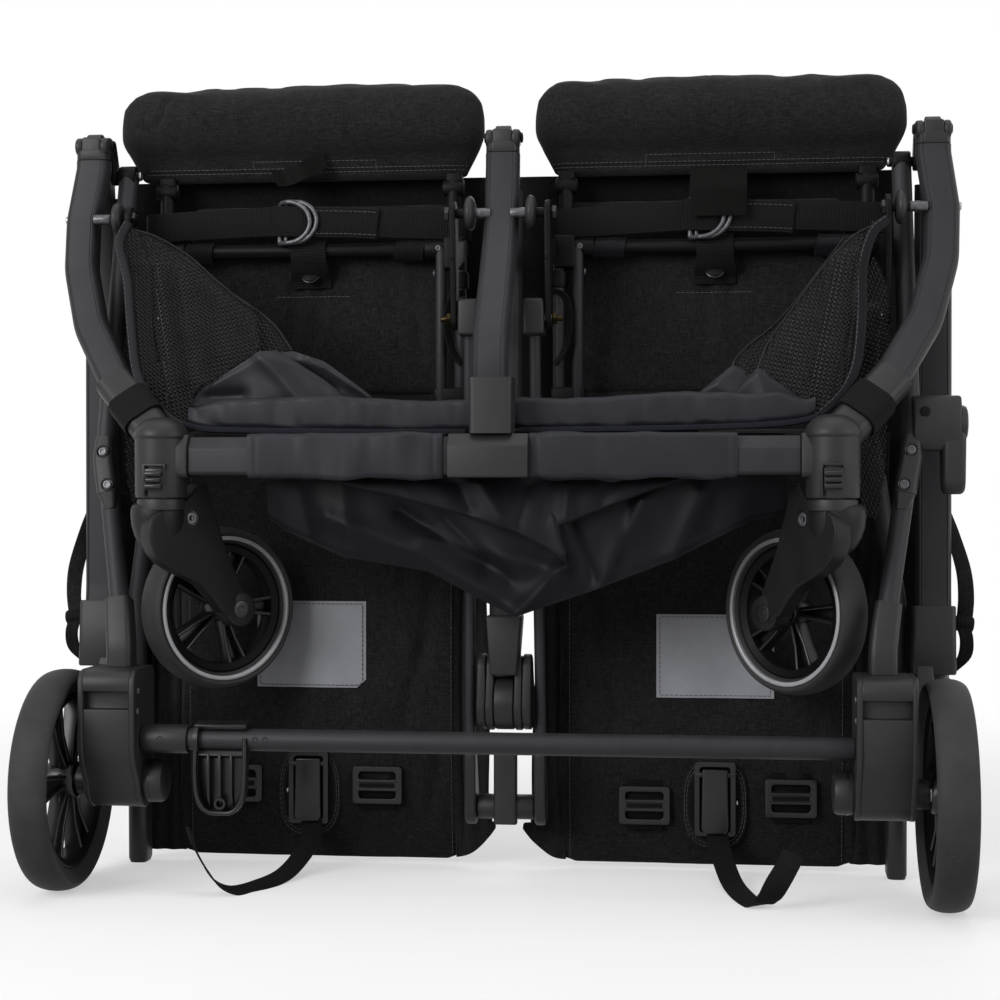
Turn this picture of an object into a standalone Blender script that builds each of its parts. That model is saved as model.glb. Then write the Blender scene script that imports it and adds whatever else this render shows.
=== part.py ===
"""Twin stroller, folded and standing on its rear wheels and the feet of its back rods.

Sizes are in millimetres and become metres in the helpers. X is across the stroller, Y runs from
the side its wheels are on to the far side, Z is up. y = 0 in the sizes is the rear wheel axle.
"""

import math

import bmesh
import bpy
from mathutils import Matrix, Vector

MM = 0.001

# Pivots of the folding linkage, as (y, z).
CAP_PIVOT = (75, 612)
SEAT_PIVOT = (52, 546)
REAR_PIVOT = (92, 588)
BACK_PIVOT = (60, 461)
HANDLE_PIVOT = (91, 145)
CANOPY_PIVOT = (152, 310)
LEG_REST_PIVOT = (123, 578)
BAR_PLACE = (172, 345)
BAR_SEAT_HALF = 12

# Places across the stroller.
LEG_X = 346
LEG_WIDE, LEG_DEEP = 28, 20
REAR_LEG_X = 323
SIDE_TUBE_X = 350
PANEL_IN, PANEL_OUT = 34, 296
CUSHION_OUT = 285

# Heights and depths of the main lines.
CAP_SEAM = 597
CROSSBAR_Y, CROSSBAR_Z = -19, 348
CROSSBAR_DEEP, CROSSBAR_TALL = 20, 30

# Rear wheels and their axle.
REAR_WHEEL_R = 88.5
REAR_AXLE_Z = 88.5
REAR_WHEEL_X = 348.5
REAR_TYRE_WIDE = 31
AXLE_TUBE = (-12, 124)
AXLE_TUBE_R = 8.75

# Front wheels on their casters.
CASTER_X, CASTER_Y = 262, -18.5
TRAIL, WHEEL_BEHIND = 74, 38.5
FRONT_WHEEL_R, FRONT_AXLE_Z = 67, 224
FRONT_TYRE_WIDE = 30
CASTER_HEADING = math.radians(45)

# The part's middle in depth lies between the rear wheels' front and the handlebar's back.
DEPTH_MID = (BAR_PLACE[0] + BAR_SEAT_HALF - REAR_WHEEL_R) / 2

GAP = 0.3
RUN = 0.4
ROUND_SIDES = 14

CHARCOAL = (0.030, 0.031, 0.034)
GRAPHITE_PLASTIC = (0.022, 0.022, 0.024)
WHEEL_GREY = (0.060, 0.060, 0.062)
HEATHER = (0.016, 0.016, 0.018)
SATIN = (0.012, 0.013, 0.018)


def clear_scene():
    for thing in list(bpy.data.objects):
        bpy.data.objects.remove(thing, do_unlink=True)


def new_collection(name):
    made = bpy.data.collections.new(name)
    bpy.context.scene.collection.children.link(made)
    return made


clear_scene()
STROLLER = new_collection("twin_stroller")
GUIDES = new_collection("guides")
GUIDES.hide_render = True


def finish(name, colour, roughness, metallic=0.0):
    material = bpy.data.materials.new(name)
    material.use_nodes = True
    shader = material.node_tree.nodes["Principled BSDF"]
    shader.inputs["Base Color"].default_value = (*colour, 1)
    shader.inputs["Roughness"].default_value = roughness
    shader.inputs["Metallic"].default_value = metallic
    return material


TUBE_FINISH = finish("powder_coated_tube", CHARCOAL, 0.42, 0.35)
PLASTIC = finish("moulded_plastic", GRAPHITE_PLASTIC, 0.5)
RUBBER = finish("foam_tyre", WHEEL_GREY, 0.75)
CLOTH = finish("heather_cloth", HEATHER, 0.95)
BASKET_CLOTH = finish("basket_satin", SATIN, 0.6)
STEEL = finish("steel_pin", (0.35, 0.35, 0.36), 0.35, 1.0)


def at(x, y, z):
    """A place in the part's frame, in metres."""
    return Vector((x, y - DEPTH_MID, z)) * MM


def link(thing, material, name):
    thing.name = name
    STROLLER.objects.link(thing)
    thing.data.materials.append(material)
    return thing


def guide(thing):
    """Keeps a cutter or a joined piece out of the render."""
    for collection in list(thing.users_collection):
        collection.objects.unlink(thing)
    GUIDES.objects.link(thing)
    thing.hide_render = True
    thing.display_type = "WIRE"
    return thing


def mesh_object(name, bm, material):
    mesh = bpy.data.meshes.new(name)
    bm.to_mesh(mesh)
    bm.free()
    return link(bpy.data.objects.new(name, mesh), material, name)


def soften(thing, width, steps=1):
    bevel = thing.modifiers.new("Bevel", "BEVEL")
    bevel.width = width * MM
    bevel.segments = steps
    bevel.limit_method = "ANGLE"
    return thing


def block(name, low, high, material, bevel=0):
    bm = bmesh.new()
    bmesh.ops.create_cube(bm, size=1)
    low, high = at(*low), at(*high)
    size = Matrix.Diagonal((*(high - low), 1))
    bmesh.ops.transform(bm, matrix=Matrix.Translation((low + high) / 2) @ size, verts=bm.verts)
    thing = mesh_object(name, bm, material)
    return soften(thing, bevel) if bevel else thing


def cylinder(name, start, end, radius, material, sides=ROUND_SIDES, end_radius=None):
    """A round bar or cone between two places."""
    start, end = at(*start), at(*end)
    along = end - start
    bm = bmesh.new()
    bmesh.ops.create_cone(
        bm,
        cap_ends=True,
        segments=sides,
        radius1=radius * MM,
        radius2=(radius if end_radius is None else end_radius) * MM,
        depth=along.length,
    )
    turn = along.to_track_quat("Z", "Y").to_matrix().to_4x4()
    bmesh.ops.transform(bm, matrix=Matrix.Translation((start + end) / 2) @ turn, verts=bm.verts)
    thing = mesh_object(name, bm, material)
    thing.data.shade_smooth()
    thing.data.set_sharp_from_angle(angle=math.radians(40))
    return thing


def barrel(name, x_low, x_high, pivot, radius, material, sides=ROUND_SIDES):
    """A cylinder across the stroller on a pivot's axis."""
    return cylinder(name, (x_low, *pivot), (x_high, *pivot), radius, material, sides)


def rounded(points, radius, steps=4):
    """The route with its corners turned on arcs."""
    points = [Vector(p) for p in points]
    route = [points[0]]
    for before, corner, after in zip(points, points[1:], points[2:]):
        into, out = (corner - before), (after - corner)
        bend = into.angle(out)
        if bend < 0.02:
            route.append(corner)
            continue
        reach = min(radius * math.tan(bend / 2), 0.48 * into.length, 0.48 * out.length)
        first = corner - into.normalized() * reach
        last = corner + out.normalized() * reach
        for step in range(steps + 1):
            t = step / steps
            route.append(first * (1 - t) ** 2 + corner * (2 * t * (1 - t)) + last * t**2)
    return [*route, points[-1]]


def tube(name, points, radius, material, bend=40, resolution=2, steps=2):
    curve = bpy.data.curves.new(name, "CURVE")
    curve.dimensions = "3D"
    curve.bevel_depth = radius * MM
    curve.bevel_resolution = resolution
    curve.use_fill_caps = True
    route = rounded(points, bend, steps)
    spline = curve.splines.new("POLY")
    spline.points.add(len(route) - 1)
    for point, place in zip(spline.points, route):
        point.co = (*at(*place), 1)
    return link(bpy.data.objects.new(name, curve), material, name)


def oval_outline(wide, deep, corner, steps=1):
    """Points round a rectangle with round corners."""
    points = []
    for index, (sx, sy) in enumerate(((1, 1), (-1, 1), (-1, -1), (1, -1))):
        for step in range(steps + 1):
            turn = math.radians(90 * index + 90 * step / steps)
            x = sx * (wide / 2 - corner) + corner * math.cos(turn)
            y = sy * (deep / 2 - corner) + corner * math.sin(turn)
            points.append((x, y))
    return points


def oval_tube(name, points, wide, deep, material, bend=60, steps=3, corner=7, across=(1, 0, 0)):
    """A tube of oval section: wide along the direction across, deep square to it."""
    route = rounded(points, bend, steps)
    outline = oval_outline(wide, deep, corner)
    bm = bmesh.new()
    rings = []
    for index, place in enumerate(route):
        before = route[max(index - 1, 0)]
        after = route[min(index + 1, len(route) - 1)]
        along = (after - before).normalized()
        side = (Vector(across) - along * along.dot(Vector(across))).normalized()
        front = along.cross(side)
        ring = [bm.verts.new(at(*(place + side * x + front * y))) for x, y in outline]
        rings.append(ring)
    for ring, after in zip(rings, rings[1:]):
        for i in range(len(outline)):
            j = (i + 1) % len(outline)
            bm.faces.new((ring[i], ring[j], after[j], after[i]))
    bm.faces.new(rings[0])
    bm.faces.new(reversed(rings[-1]))
    bmesh.ops.recalc_face_normals(bm, faces=bm.faces)
    thing = mesh_object(name, bm, material)
    thing.data.shade_smooth()
    thing.data.set_sharp_from_angle(angle=math.radians(40))
    return thing


def plate(name, outline, x_low, x_high, material):
    """A flat outline in (y, z), as thick as from x_low to x_high."""
    curve = bpy.data.curves.new(name, "CURVE")
    curve.dimensions = "2D"
    curve.fill_mode = "BOTH"
    curve.extrude = (x_high - x_low) / 2 * MM
    spline = curve.splines.new("POLY")
    spline.points.add(len(outline) - 1)
    for point, (y, z) in zip(spline.points, outline):
        point.co = ((y - DEPTH_MID) * MM, z * MM, 0, 1)
    spline.use_cyclic_u = True
    thing = link(bpy.data.objects.new(name, curve), material, name)
    turn = Matrix(((0, 0, 1), (1, 0, 0), (0, 1, 0))).to_4x4()
    thing.matrix_world = Matrix.Translation(((x_low + x_high) / 2 * MM, 0, 0)) @ turn
    return thing


def capsule(start, end, radius, end_radius=None, steps=8):
    """The outline round two circles in (y, z)."""
    end_radius = radius if end_radius is None else end_radius
    start, end = Vector(start), Vector(end)
    heading = math.atan2(end.y - start.y, end.x - start.x)
    points = []
    for centre, size, first in ((end, end_radius, -90), (start, radius, 90)):
        for step in range(steps + 1):
            turn = heading + math.radians(first + 180 * step / steps)
            points.append((centre.x + size * math.cos(turn), centre.y + size * math.sin(turn)))
    return points


def as_mesh(thing):
    """The evaluated shape as a mesh object of the same name, with its loose caps welded."""
    bpy.context.view_layer.update()
    graph = bpy.context.evaluated_depsgraph_get()
    mesh = bpy.data.meshes.new_from_object(thing.evaluated_get(graph))
    bm = bmesh.new()
    bm.from_mesh(mesh)
    bmesh.ops.remove_doubles(bm, verts=bm.verts, dist=0.00001)
    bmesh.ops.recalc_face_normals(bm, faces=bm.faces)
    bm.to_mesh(mesh)
    bm.free()
    made = bpy.data.objects.new(thing.name, mesh)
    made.matrix_world = thing.matrix_world.copy()
    for collection in thing.users_collection:
        collection.objects.link(made)
    name = thing.name
    bpy.data.objects.remove(thing, do_unlink=True)
    made.name = name
    return made


def combine(base, others, operation):
    base = as_mesh(base)
    for other in others:
        tool = guide(as_mesh(other))
        change = base.modifiers.new("Boolean", "BOOLEAN")
        change.operation = operation
        change.object = tool
    return as_mesh(base)


def joined(base, *others):
    return combine(base, others, "UNION")


def cut(base, *others):
    return combine(base, others, "DIFFERENCE")


def bore(thing, x_low, x_high, pivot, radius):
    return cut(thing, barrel("bore", x_low, x_high, pivot, radius, STEEL))


def body(name, place, parent=None):
    """An empty on a joint's axis, which carries the pieces that move with it."""
    empty = bpy.data.objects.new(name, None)
    empty.empty_display_size = 0.03
    STROLLER.objects.link(empty)
    empty.matrix_world = Matrix.Translation(at(*place))
    if parent:
        hold(empty, parent)
    return empty


def hold(thing, parent):
    """Parents a piece where it stands."""
    bpy.context.view_layer.update()
    place = thing.matrix_world.copy()
    thing.parent = parent
    thing.matrix_parent_inverse = parent.matrix_world.inverted()
    thing.matrix_world = place
    return thing


def turned(name, profile, centre, axis, material, steps=24):
    """A closed profile of (radius, along) points, clockwise, turned about an axis."""
    mesh = bpy.data.meshes.new(name)
    bm = bmesh.new()
    verts = [bm.verts.new((r * MM, 0, along * MM)) for r, along in profile]
    for first, second in zip(verts, verts[1:] + verts[:1]):
        bm.edges.new((first, second))
    bm.to_mesh(mesh)
    bm.free()
    thing = link(bpy.data.objects.new(name, mesh), material, name)
    screw = thing.modifiers.new("Screw", "SCREW")
    screw.steps = screw.render_steps = steps
    screw.use_merge_vertices = False
    weld = thing.modifiers.new("Weld", "WELD")
    weld.merge_threshold = 0.00001
    turn = Vector(axis).to_track_quat("Z", "Y").to_matrix().to_4x4()
    thing.matrix_world = Matrix.Translation(at(*centre)) @ turn
    return thing


def sheet(name, columns, rows, surface, thickness, material):
    """A cloth sheet: surface(u, v) gives its places for u and v from 0 to 1."""
    bm = bmesh.new()
    grid = []
    for i in range(columns + 1):
        grid.append([bm.verts.new(at(*surface(i / columns, j / rows))) for j in range(rows + 1)])
    for i in range(columns):
        for j in range(rows):
            bm.faces.new((grid[i][j], grid[i + 1][j], grid[i + 1][j + 1], grid[i][j + 1]))
    thing = mesh_object(name, bm, material)
    solid = thing.modifiers.new("Solidify", "SOLIDIFY")
    solid.thickness = thickness * MM
    solid.offset = 0
    return thing


def cushion(name, low, high, material, crown, channels=(), columns=10, rows=6, pinch=0.03):
    """A padded form: crowned front and back, sides drawn in between its corners, sewn channels.

    Each face is a grid of the box's front, and its thickness swells from rim to middle. channels
    are the shares of the height at which a seam pulls both faces in.
    """
    low, high = Vector(low), Vector(high)
    middle, half = (low + high) / 2, (high - low) / 2
    bm = bmesh.new()

    def place(u, v, side):
        a, b = 2 * u - 1, 2 * v - 1
        x = middle.x + half.x * a * (1 - pinch * (1 - b * b))
        z = middle.z + half.z * b * (1 - pinch * (1 - a * a))
        swell = ((1 - abs(a) ** 4) * (1 - abs(b) ** 4)) ** 0.5
        seam = min([1.0] + [abs(v - channel) * 9 for channel in channels])
        rim = half.y - crown
        depth = rim + crown * swell * (0.45 + 0.55 * seam)
        return at(x, middle.y + side * depth, z)

    faces = {}
    for side in (-1, 1):
        for i in range(columns + 1):
            for j in range(rows + 1):
                faces[side, i, j] = bm.verts.new(place(i / columns, j / rows, side))
    for side in (-1, 1):
        for i in range(columns):
            for j in range(rows):
                corners = [faces[side, a, b] for a, b in ((i, j), (i + 1, j), (i + 1, j + 1), (i, j + 1))]
                bm.faces.new(corners)
    rim = [(i, 0) for i in range(columns)] + [(columns, j) for j in range(rows)]
    rim += [(i, rows) for i in range(columns, 0, -1)] + [(0, j) for j in range(rows, 0, -1)]
    for first, second in zip(rim, rim[1:] + rim[:1]):
        bm.faces.new((faces[-1, *first], faces[-1, *second], faces[1, *second], faces[1, *first]))
    bmesh.ops.recalc_face_normals(bm, faces=bm.faces)
    thing = mesh_object(name, bm, material)
    thing.data.shade_smooth()
    return thing


SIDES = (("left", -1), ("right", 1))


def span(side, first, second):
    """Two distances from the middle as a low and a high x on one side."""
    return sorted((side * first, side * second))


def span_block(name, side, across, deep, tall, material, bevel=0):
    """A block given by its reach across one side, in depth and in height."""
    low, high = span(side, *across)
    return block(name, (low, deep[0], tall[0]), (high, deep[1], tall[1]), material, bevel)


# The front frame stands still: the other bodies hang on it.

FRONT = body("front_frame", (0, *CAP_PIVOT))


def hinge_cap(name, centre, half, ear=None):
    """The moulded fork on top of a front leg, open behind and above, with the fold's pin hole."""
    y, z = CAP_PIVOT
    cheek = 6
    low, high = centre - half, centre + half
    base = block(name, (low, y - 17, CAP_SEAM + GAP), (high, y + 4, CAP_SEAM + 3), PLASTIC)
    web = block("web", (low + 0.4, y - 16.5, CAP_SEAM + 1), (high - 0.4, y - 11.5, z), PLASTIC)
    cheeks = []
    for x in (low, high - cheek):
        outline = capsule((y - 4, z - 0.4), (y, z), 12.6)
        cheeks.append(plate("cheek", outline, x + 0.2, x + cheek - 0.2, PLASTIC))
    if ear:
        ear_low, ear_high, pin_low, pin_high = ear
        outline = capsule((y + 8, z - 1), REAR_PIVOT, 6, 7.5)
        cheeks.append(plate("ear", outline, ear_low, ear_high, PLASTIC))
        cheeks.append(barrel("rear_pin", pin_low, pin_high, REAR_PIVOT, 4, STEEL, 12))
    cap = joined(base, web, *cheeks)
    return hold(bore(cap, low - 5, high + 5, CAP_PIVOT, 4 + RUN), FRONT)


def fold_pin(name, centre, half):
    y, z = CAP_PIVOT
    shaft = barrel(name, centre - half - GAP - 1, centre + half + GAP + 1, CAP_PIVOT, 4, STEEL, 12)
    heads = []
    for x_low, x_high in ((-half - 3, -half - GAP), (half + GAP, half + 3)):
        heads.append(barrel("head", centre + x_low, centre + x_high, CAP_PIVOT, 6.5, STEEL, 12))
    return hold(joined(shaft, *heads), FRONT)


LEG_END = Vector((286, 1.5, 382.5))
LEG_ROUTE = [
    (LEG_X, 70, CAP_SEAM), (LEG_X, 70, 590), (352, 62, 545), (350, 51, 503), (336, 34, 454), (306, 13, 404),
    tuple(LEG_END),
]


def mirrored(points, side):
    return [(side * x, y, z) for x, y, z in points]


def make_front_legs():
    for word, side in SIDES:
        leg = oval_tube(
            f"front_leg_{word}", mirrored(LEG_ROUTE, side), LEG_WIDE, LEG_DEEP, TUBE_FINISH, 80, 2
        )
        pin_end = 302
        pin = barrel("pin", *span(side, pin_end, LEG_X), SEAT_PIVOT, 5, STEEL, 12)
        head = barrel("head", *span(side, pin_end - 1, 305.6), SEAT_PIVOT, 9, STEEL, 12)
        hold(joined(leg, pin, head), FRONT)
        low, high = span(side, 332, 338)
        ear = (low, high, *span(side, 312, 336))
        hinge_cap(f"hinge_cap_{word}", side * LEG_X, LEG_WIDE / 2, ear)
        fold_pin(f"fold_pin_{word}", side * LEG_X, LEG_WIDE / 2)
    route = [(0, 70, CAP_SEAM), (0, 70, 588), (0, 62, 540), (0, -14, 440), (0, -19, 424), (0, -19, 411)]
    leg = oval_tube("front_leg_centre", route, LEG_WIDE, LEG_DEEP, TUBE_FINISH, 90)
    pin = barrel("pin", -44, 44, SEAT_PIVOT, 5, STEEL, 12)
    heads = [barrel("head", *span(side, 42, 45), SEAT_PIVOT, 8, STEEL, 12) for _, side in SIDES]
    hold(joined(leg, pin, *heads), FRONT)
    hinge_cap("hinge_cap_centre", 0, LEG_WIDE / 2)
    fold_pin("fold_pin_centre", 0, LEG_WIDE / 2)


def make_crossbar():
    y, z = CROSSBAR_Y, CROSSBAR_Z
    cross = block("t_connector", (-31, y - 20, z - 17), (31, y + 14, z + 17), PLASTIC, 5)
    socket = block("socket", (-18, y - 19, z), (18, y + 14, 410), PLASTIC, 4)
    hold(joined(cross, socket), FRONT)
    for word, side in SIDES:
        bar = span_block(
            f"front_crossbar_{word}", side, (31 + GAP, 238 - GAP),
            (y - CROSSBAR_DEEP / 2, y + CROSSBAR_DEEP / 2),
            (z - CROSSBAR_TALL / 2, z + CROSSBAR_TALL / 2), TUBE_FINISH, 6,
        )
        hold(bar, FRONT)


def make_caster_housings():
    for word, side in SIDES:
        x, y = side * CASTER_X, CASTER_Y
        post = cylinder(f"caster_housing_{word}", (x, y, 315), (x, y, 366), 22, PLASTIC)
        dome = cylinder("dome", (x, y, 366), (x, y, 379), 22, PLASTIC, ROUND_SIDES, 14)
        arm = span_block("arm", side, (238, 262), (y - 13, y + 12), (331, 365), PLASTIC, 4)
        top = Vector((side * LEG_END.x, LEG_END.y, LEG_END.z))
        leg_in = Vector(mirrored(LEG_ROUTE[-2:-1], side)[0])
        along = (top - leg_in).normalized()
        collar = oval_tube("collar", [top + along * GAP, top + along * 36], 32, 24, PLASTIC)
        housing = joined(post, dome, arm, collar)
        stem = cylinder("stem_bore", (x, y, 300), (x, y, 352), 6 + RUN, STEEL)
        hold(cut(housing, stem), FRONT)


make_front_legs()
make_crossbar()
make_caster_housings()


# Casters: each fork swivels under its housing, and its wheel turns on a stub axle.

def caster_frame(side):
    """Unit vectors of the folded caster: the way it trails, and its wheel's face."""
    trail = Vector((-side * math.sin(CASTER_HEADING), math.cos(CASTER_HEADING), 0))
    face = Vector((-side * math.cos(CASTER_HEADING), -math.sin(CASTER_HEADING), 0))
    return trail, face


def wheel(name_end, centre, axis, radius, wide, hub_r, bore_r, spokes, parent):
    """A tyre with a round tread, and its spoked rim with a bored hub."""
    half = wide / 2
    seat = radius * 0.8
    tread = [(seat, -half * 0.7), (seat, half * 0.7), (radius * 0.9, half), (radius * 0.965, half * 0.8)]
    tread += [(radius, half * 0.35)]
    tread += [(reach, -out) for reach, out in reversed(tread[2:])]
    tyre = turned(f"{name_end[0]}_tyre_{name_end[1]}", tread, centre, axis, RUBBER)
    hold(tyre, parent)
    rim_out, rim_in = seat - GAP, seat - 7
    ring = turned(
        f"{name_end[0]}_rim_{name_end[1]}",
        [(rim_in, half * 0.62), (rim_out, half * 0.62), (rim_out, -half * 0.62), (rim_in, -half * 0.62)],
        centre, axis, PLASTIC,
    )
    hub = turned(
        "hub",
        [(bore_r, half * 0.8), (hub_r, half * 0.8), (hub_r, -half * 0.8), (bore_r, -half * 0.8)],
        centre, axis, PLASTIC, 12,
    )
    arms = []
    turn = Vector(axis).to_track_quat("Z", "Y").to_matrix().to_4x4()
    for index in range(spokes):
        bm = bmesh.new()
        bmesh.ops.create_cube(bm, size=1)
        reach = rim_in - hub_r + 6
        size = Matrix.Diagonal((reach * MM, 9 * MM, half * 0.8 * MM, 1))
        shift = Matrix.Translation(((hub_r + reach / 2 - 3) * MM, 0, 0))
        spin = Matrix.Rotation(2 * math.pi * index / spokes, 4, "Z")
        place = Matrix.Translation(at(*centre)) @ turn @ spin @ shift @ size
        bmesh.ops.transform(bm, matrix=place, verts=bm.verts)
        arms.append(mesh_object("spoke", bm, PLASTIC))
    return hold(joined(ring, hub, *arms), parent)


def make_casters():
    for word, side in SIDES:
        trail, face = caster_frame(side)
        axis_top = Vector((side * CASTER_X, CASTER_Y, 0))
        caster = body(f"caster_{word}", (*axis_top[:2], 315), FRONT)
        hub_place = axis_top + trail * TRAIL + Vector((0, 0, FRONT_AXLE_Z))
        x, y = axis_top[:2]
        head = cylinder(f"caster_fork_{word}", (x, y, 282), (x, y, 315 - 2 * GAP), 20, PLASTIC)
        stem = cylinder("stem", (x, y, 300), (x, y, 350), 6, STEEL)
        near, far = -3, -20
        arm_top = axis_top + Vector((0, 0, 298)) + trail * 2
        knee = axis_top + Vector((0, 0, 276)) + trail * 34
        mid_face = face * ((near + far) / 2)
        arm = oval_tube("arm", [arm_top + mid_face, knee + mid_face, hub_place + mid_face],
                        near - far, 26, PLASTIC, 30, 3, 6, face)
        boss = cylinder("boss", hub_place + face * far, hub_place + face * near, 17, PLASTIC)
        centre = hub_place - face * WHEEL_BEHIND
        stub = cylinder("stub", hub_place + face * (far + 4), centre - face * 16, 5, STEEL, 12)
        hold(joined(head, stem, arm, boss, stub), caster)
        spin = body(f"front_wheel_{word}", centre, caster)
        wheel(("front", word), centre, face, FRONT_WHEEL_R, FRONT_TYRE_WIDE, 11, 5 + RUN, 5, spin)
        lock = body(f"swivel_lock_body_{word}", (side * CASTER_X, -43, 330), FRONT)
        low, high = span(side, 254, 270)
        hold(block(f"swivel_lock_{word}", (low, -47, 322), (high, -41.2, 338), PLASTIC, 1.5), lock)


make_casters()


# The rear frame: two legs, the wheel brackets and the axle tube between them.

REAR = body("rear_frame", (0, *REAR_PIVOT), FRONT)
REAR_ROUTE = [(REAR_LEG_X, 92, 588), (326, 39, 356), (306, 13, 232), (301, 2, 195), (301, 2, 181.2)]


def make_rear_frame():
    for word, side in SIDES:
        leg = tube(f"rear_leg_{word}", mirrored(REAR_ROUTE, side), 8, TUBE_FINISH, 60)
        eye = barrel("eye", *span(side, 315, 331), REAR_PIVOT, 11, PLASTIC)
        joint_plate = plate("plate", capsule((39, 358), (27, 306), 11), *span(side, 312, 324), PLASTIC)
        sleeve_route = [(305.4, 12, 229), (301, 2, 196), (301, 2, 181)]
        sleeve = tube("sleeve", mirrored(sleeve_route, side), 10.5, PLASTIC, 10)
        leg = joined(leg, eye, joint_plate, sleeve)
        hold(bore(leg, *span(side, 308, 331.8), REAR_PIVOT, 4 + RUN), REAR)
        low, high = span(side, 279, 325)
        upper = block(f"rear_bracket_{word}", (low, -36, 112), (high, 20, 180), PLASTIC, 6)
        lower = plate("lower", capsule((0, REAR_AXLE_Z), (-8, 124), 21, 26), low, high, PLASTIC)
        boss = barrel("boss", *span(side, 263, 281), (0, REAR_AXLE_Z), 17, PLASTIC)
        stub = barrel("stub", *span(side, 320, 368), (0, REAR_AXLE_Z), 6, STEEL, 12)
        nut = barrel("nut", *span(side, 364.8, 369), (0, REAR_AXLE_Z), 11, PLASTIC)
        hold(joined(upper, lower, boss, stub, nut), REAR)
        centre = (side * REAR_WHEEL_X, 0, REAR_AXLE_Z)
        spin = body(f"rear_wheel_{word}", centre, REAR)
        wheel(("rear", word), centre, (side, 0, 0), REAR_WHEEL_R, REAR_TYRE_WIDE, 15, 6 + RUN, 6, spin)
    axle = barrel("rear_axle", -279 + GAP, 279 - GAP, AXLE_TUBE, AXLE_TUBE_R, TUBE_FINISH)
    collar = barrel("collar", -279 + GAP, -241, AXLE_TUBE, 11.5, PLASTIC)
    hold(joined(axle, collar), REAR)


def make_pedal():
    pedal = body("brake", (-213, *AXLE_TUBE), REAR)
    ring = barrel("brake_pedal", -236, -192, AXLE_TUBE, 15, PLASTIC)
    y, _ = AXLE_TUBE
    tread = block("tread", (-236, y - 10, 66), (-192, y + 4, 118), PLASTIC, 3)
    ring = joined(ring, tread)
    slot = block("slot", (-226, y - 14, 74), (-202, y + 8, 100), PLASTIC, 2)
    ring = cut(ring, slot)
    hold(bore(ring, -240, -188, AXLE_TUBE, AXLE_TUBE_R + RUN), pedal)


def make_latch():
    pivot = (45, 374)
    latch = body("latch", (350, *pivot), REAR)
    shell = block("storage_latch", (334.6, 29, 352), (372, 61, 396), PLASTIC, 4)
    disc = barrel("disc", 370, 379, pivot, 17, PLASTIC)
    hold(joined(shell, disc), latch)


make_rear_frame()
make_pedal()
make_latch()


# The seat frame: one welded tube frame a side, its cushions and the leg rests in front.

SEAT = body("seat_frame", (0, *SEAT_PIVOT), FRONT)
SEAT_TUBE = (120, 526)
SEAT_TUBE_R = 8.5


def seat_lug(name, x_low, x_high, pin_end):
    outline = capsule(SEAT_PIVOT, BACK_PIVOT, 12, 11)
    lug = plate(name, outline, x_low, x_high, TUBE_FINISH)
    brace = plate("brace", capsule((56, 512), SEAT_TUBE, 13, 11), x_low, x_high, TUBE_FINISH)
    pin = barrel("pin", *sorted((pin_end, (x_low + x_high) / 2)), BACK_PIVOT, 4, STEEL, 12)
    return [lug, brace, pin]


def make_seat_frames():
    for word, side in SIDES:
        y, z = SEAT_TUBE
        outer = seat_lug("lug", *span(side, 306.5, 311.5), side * 288)
        inner = seat_lug("lug", *span(side, 36, 41), side * 21)
        cross = barrel(f"seat_frame_{word}", *span(side, 38, 309), SEAT_TUBE, SEAT_TUBE_R, TUBE_FINISH, 16)
        long_rod = tube("long_rod", [(side * 47, y, z), (side * 47, y - 1, 412)], 6, TUBE_FINISH)
        thin_rod = tube("thin_rod", [(side * 66, y, z), (side * 66, y - 1, 412)], 4, TUBE_FINISH)
        foot = span_block("foot", side, (40, 72), (y - 8, y + 7), (406, 422), PLASTIC, 2)
        frame = joined(cross, *outer, *inner, long_rod, thin_rod, foot)
        frame = bore(frame, *span(side, 305, 313), SEAT_PIVOT, 5 + RUN)
        hold(bore(frame, *span(side, 34.5, 41.6), SEAT_PIVOT, 5 + RUN), SEAT)
        low, high = span(side, PANEL_IN + 2, CUSHION_OUT)
        hold(cushion(f"seat_cushion_{word}", (low, 130, 402), (high, 146, 571), CLOTH, 4, (0.5,), 8, 6), SEAT)
        rest = body(f"leg_rest_{word}", (side * 170, *LEG_REST_PIVOT), SEAT)
        low, high = span(side, 22, 320)
        hold(cushion(f"leg_rest_pad_{word}", (low, 105, 582), (high, 143, 668), CLOTH, 12, (), 8, 6), rest)


make_seat_frames()


# The back frame: push rods with feet, the middle bar and the two backrests.

BACK = body("back_frame", (0, *BACK_PIVOT), SEAT)
OUTER_ROD = [(296, *BACK_PIVOT), (297, 92, 372), (322, 112, 230), (322, 118, 60), (322, 118, 0.2)]
INNER_ROD = [(27, *BACK_PIVOT), (28, 74, 300), (30, 92, 70)]
MIDDLE_BAR = (96, 57)


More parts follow.
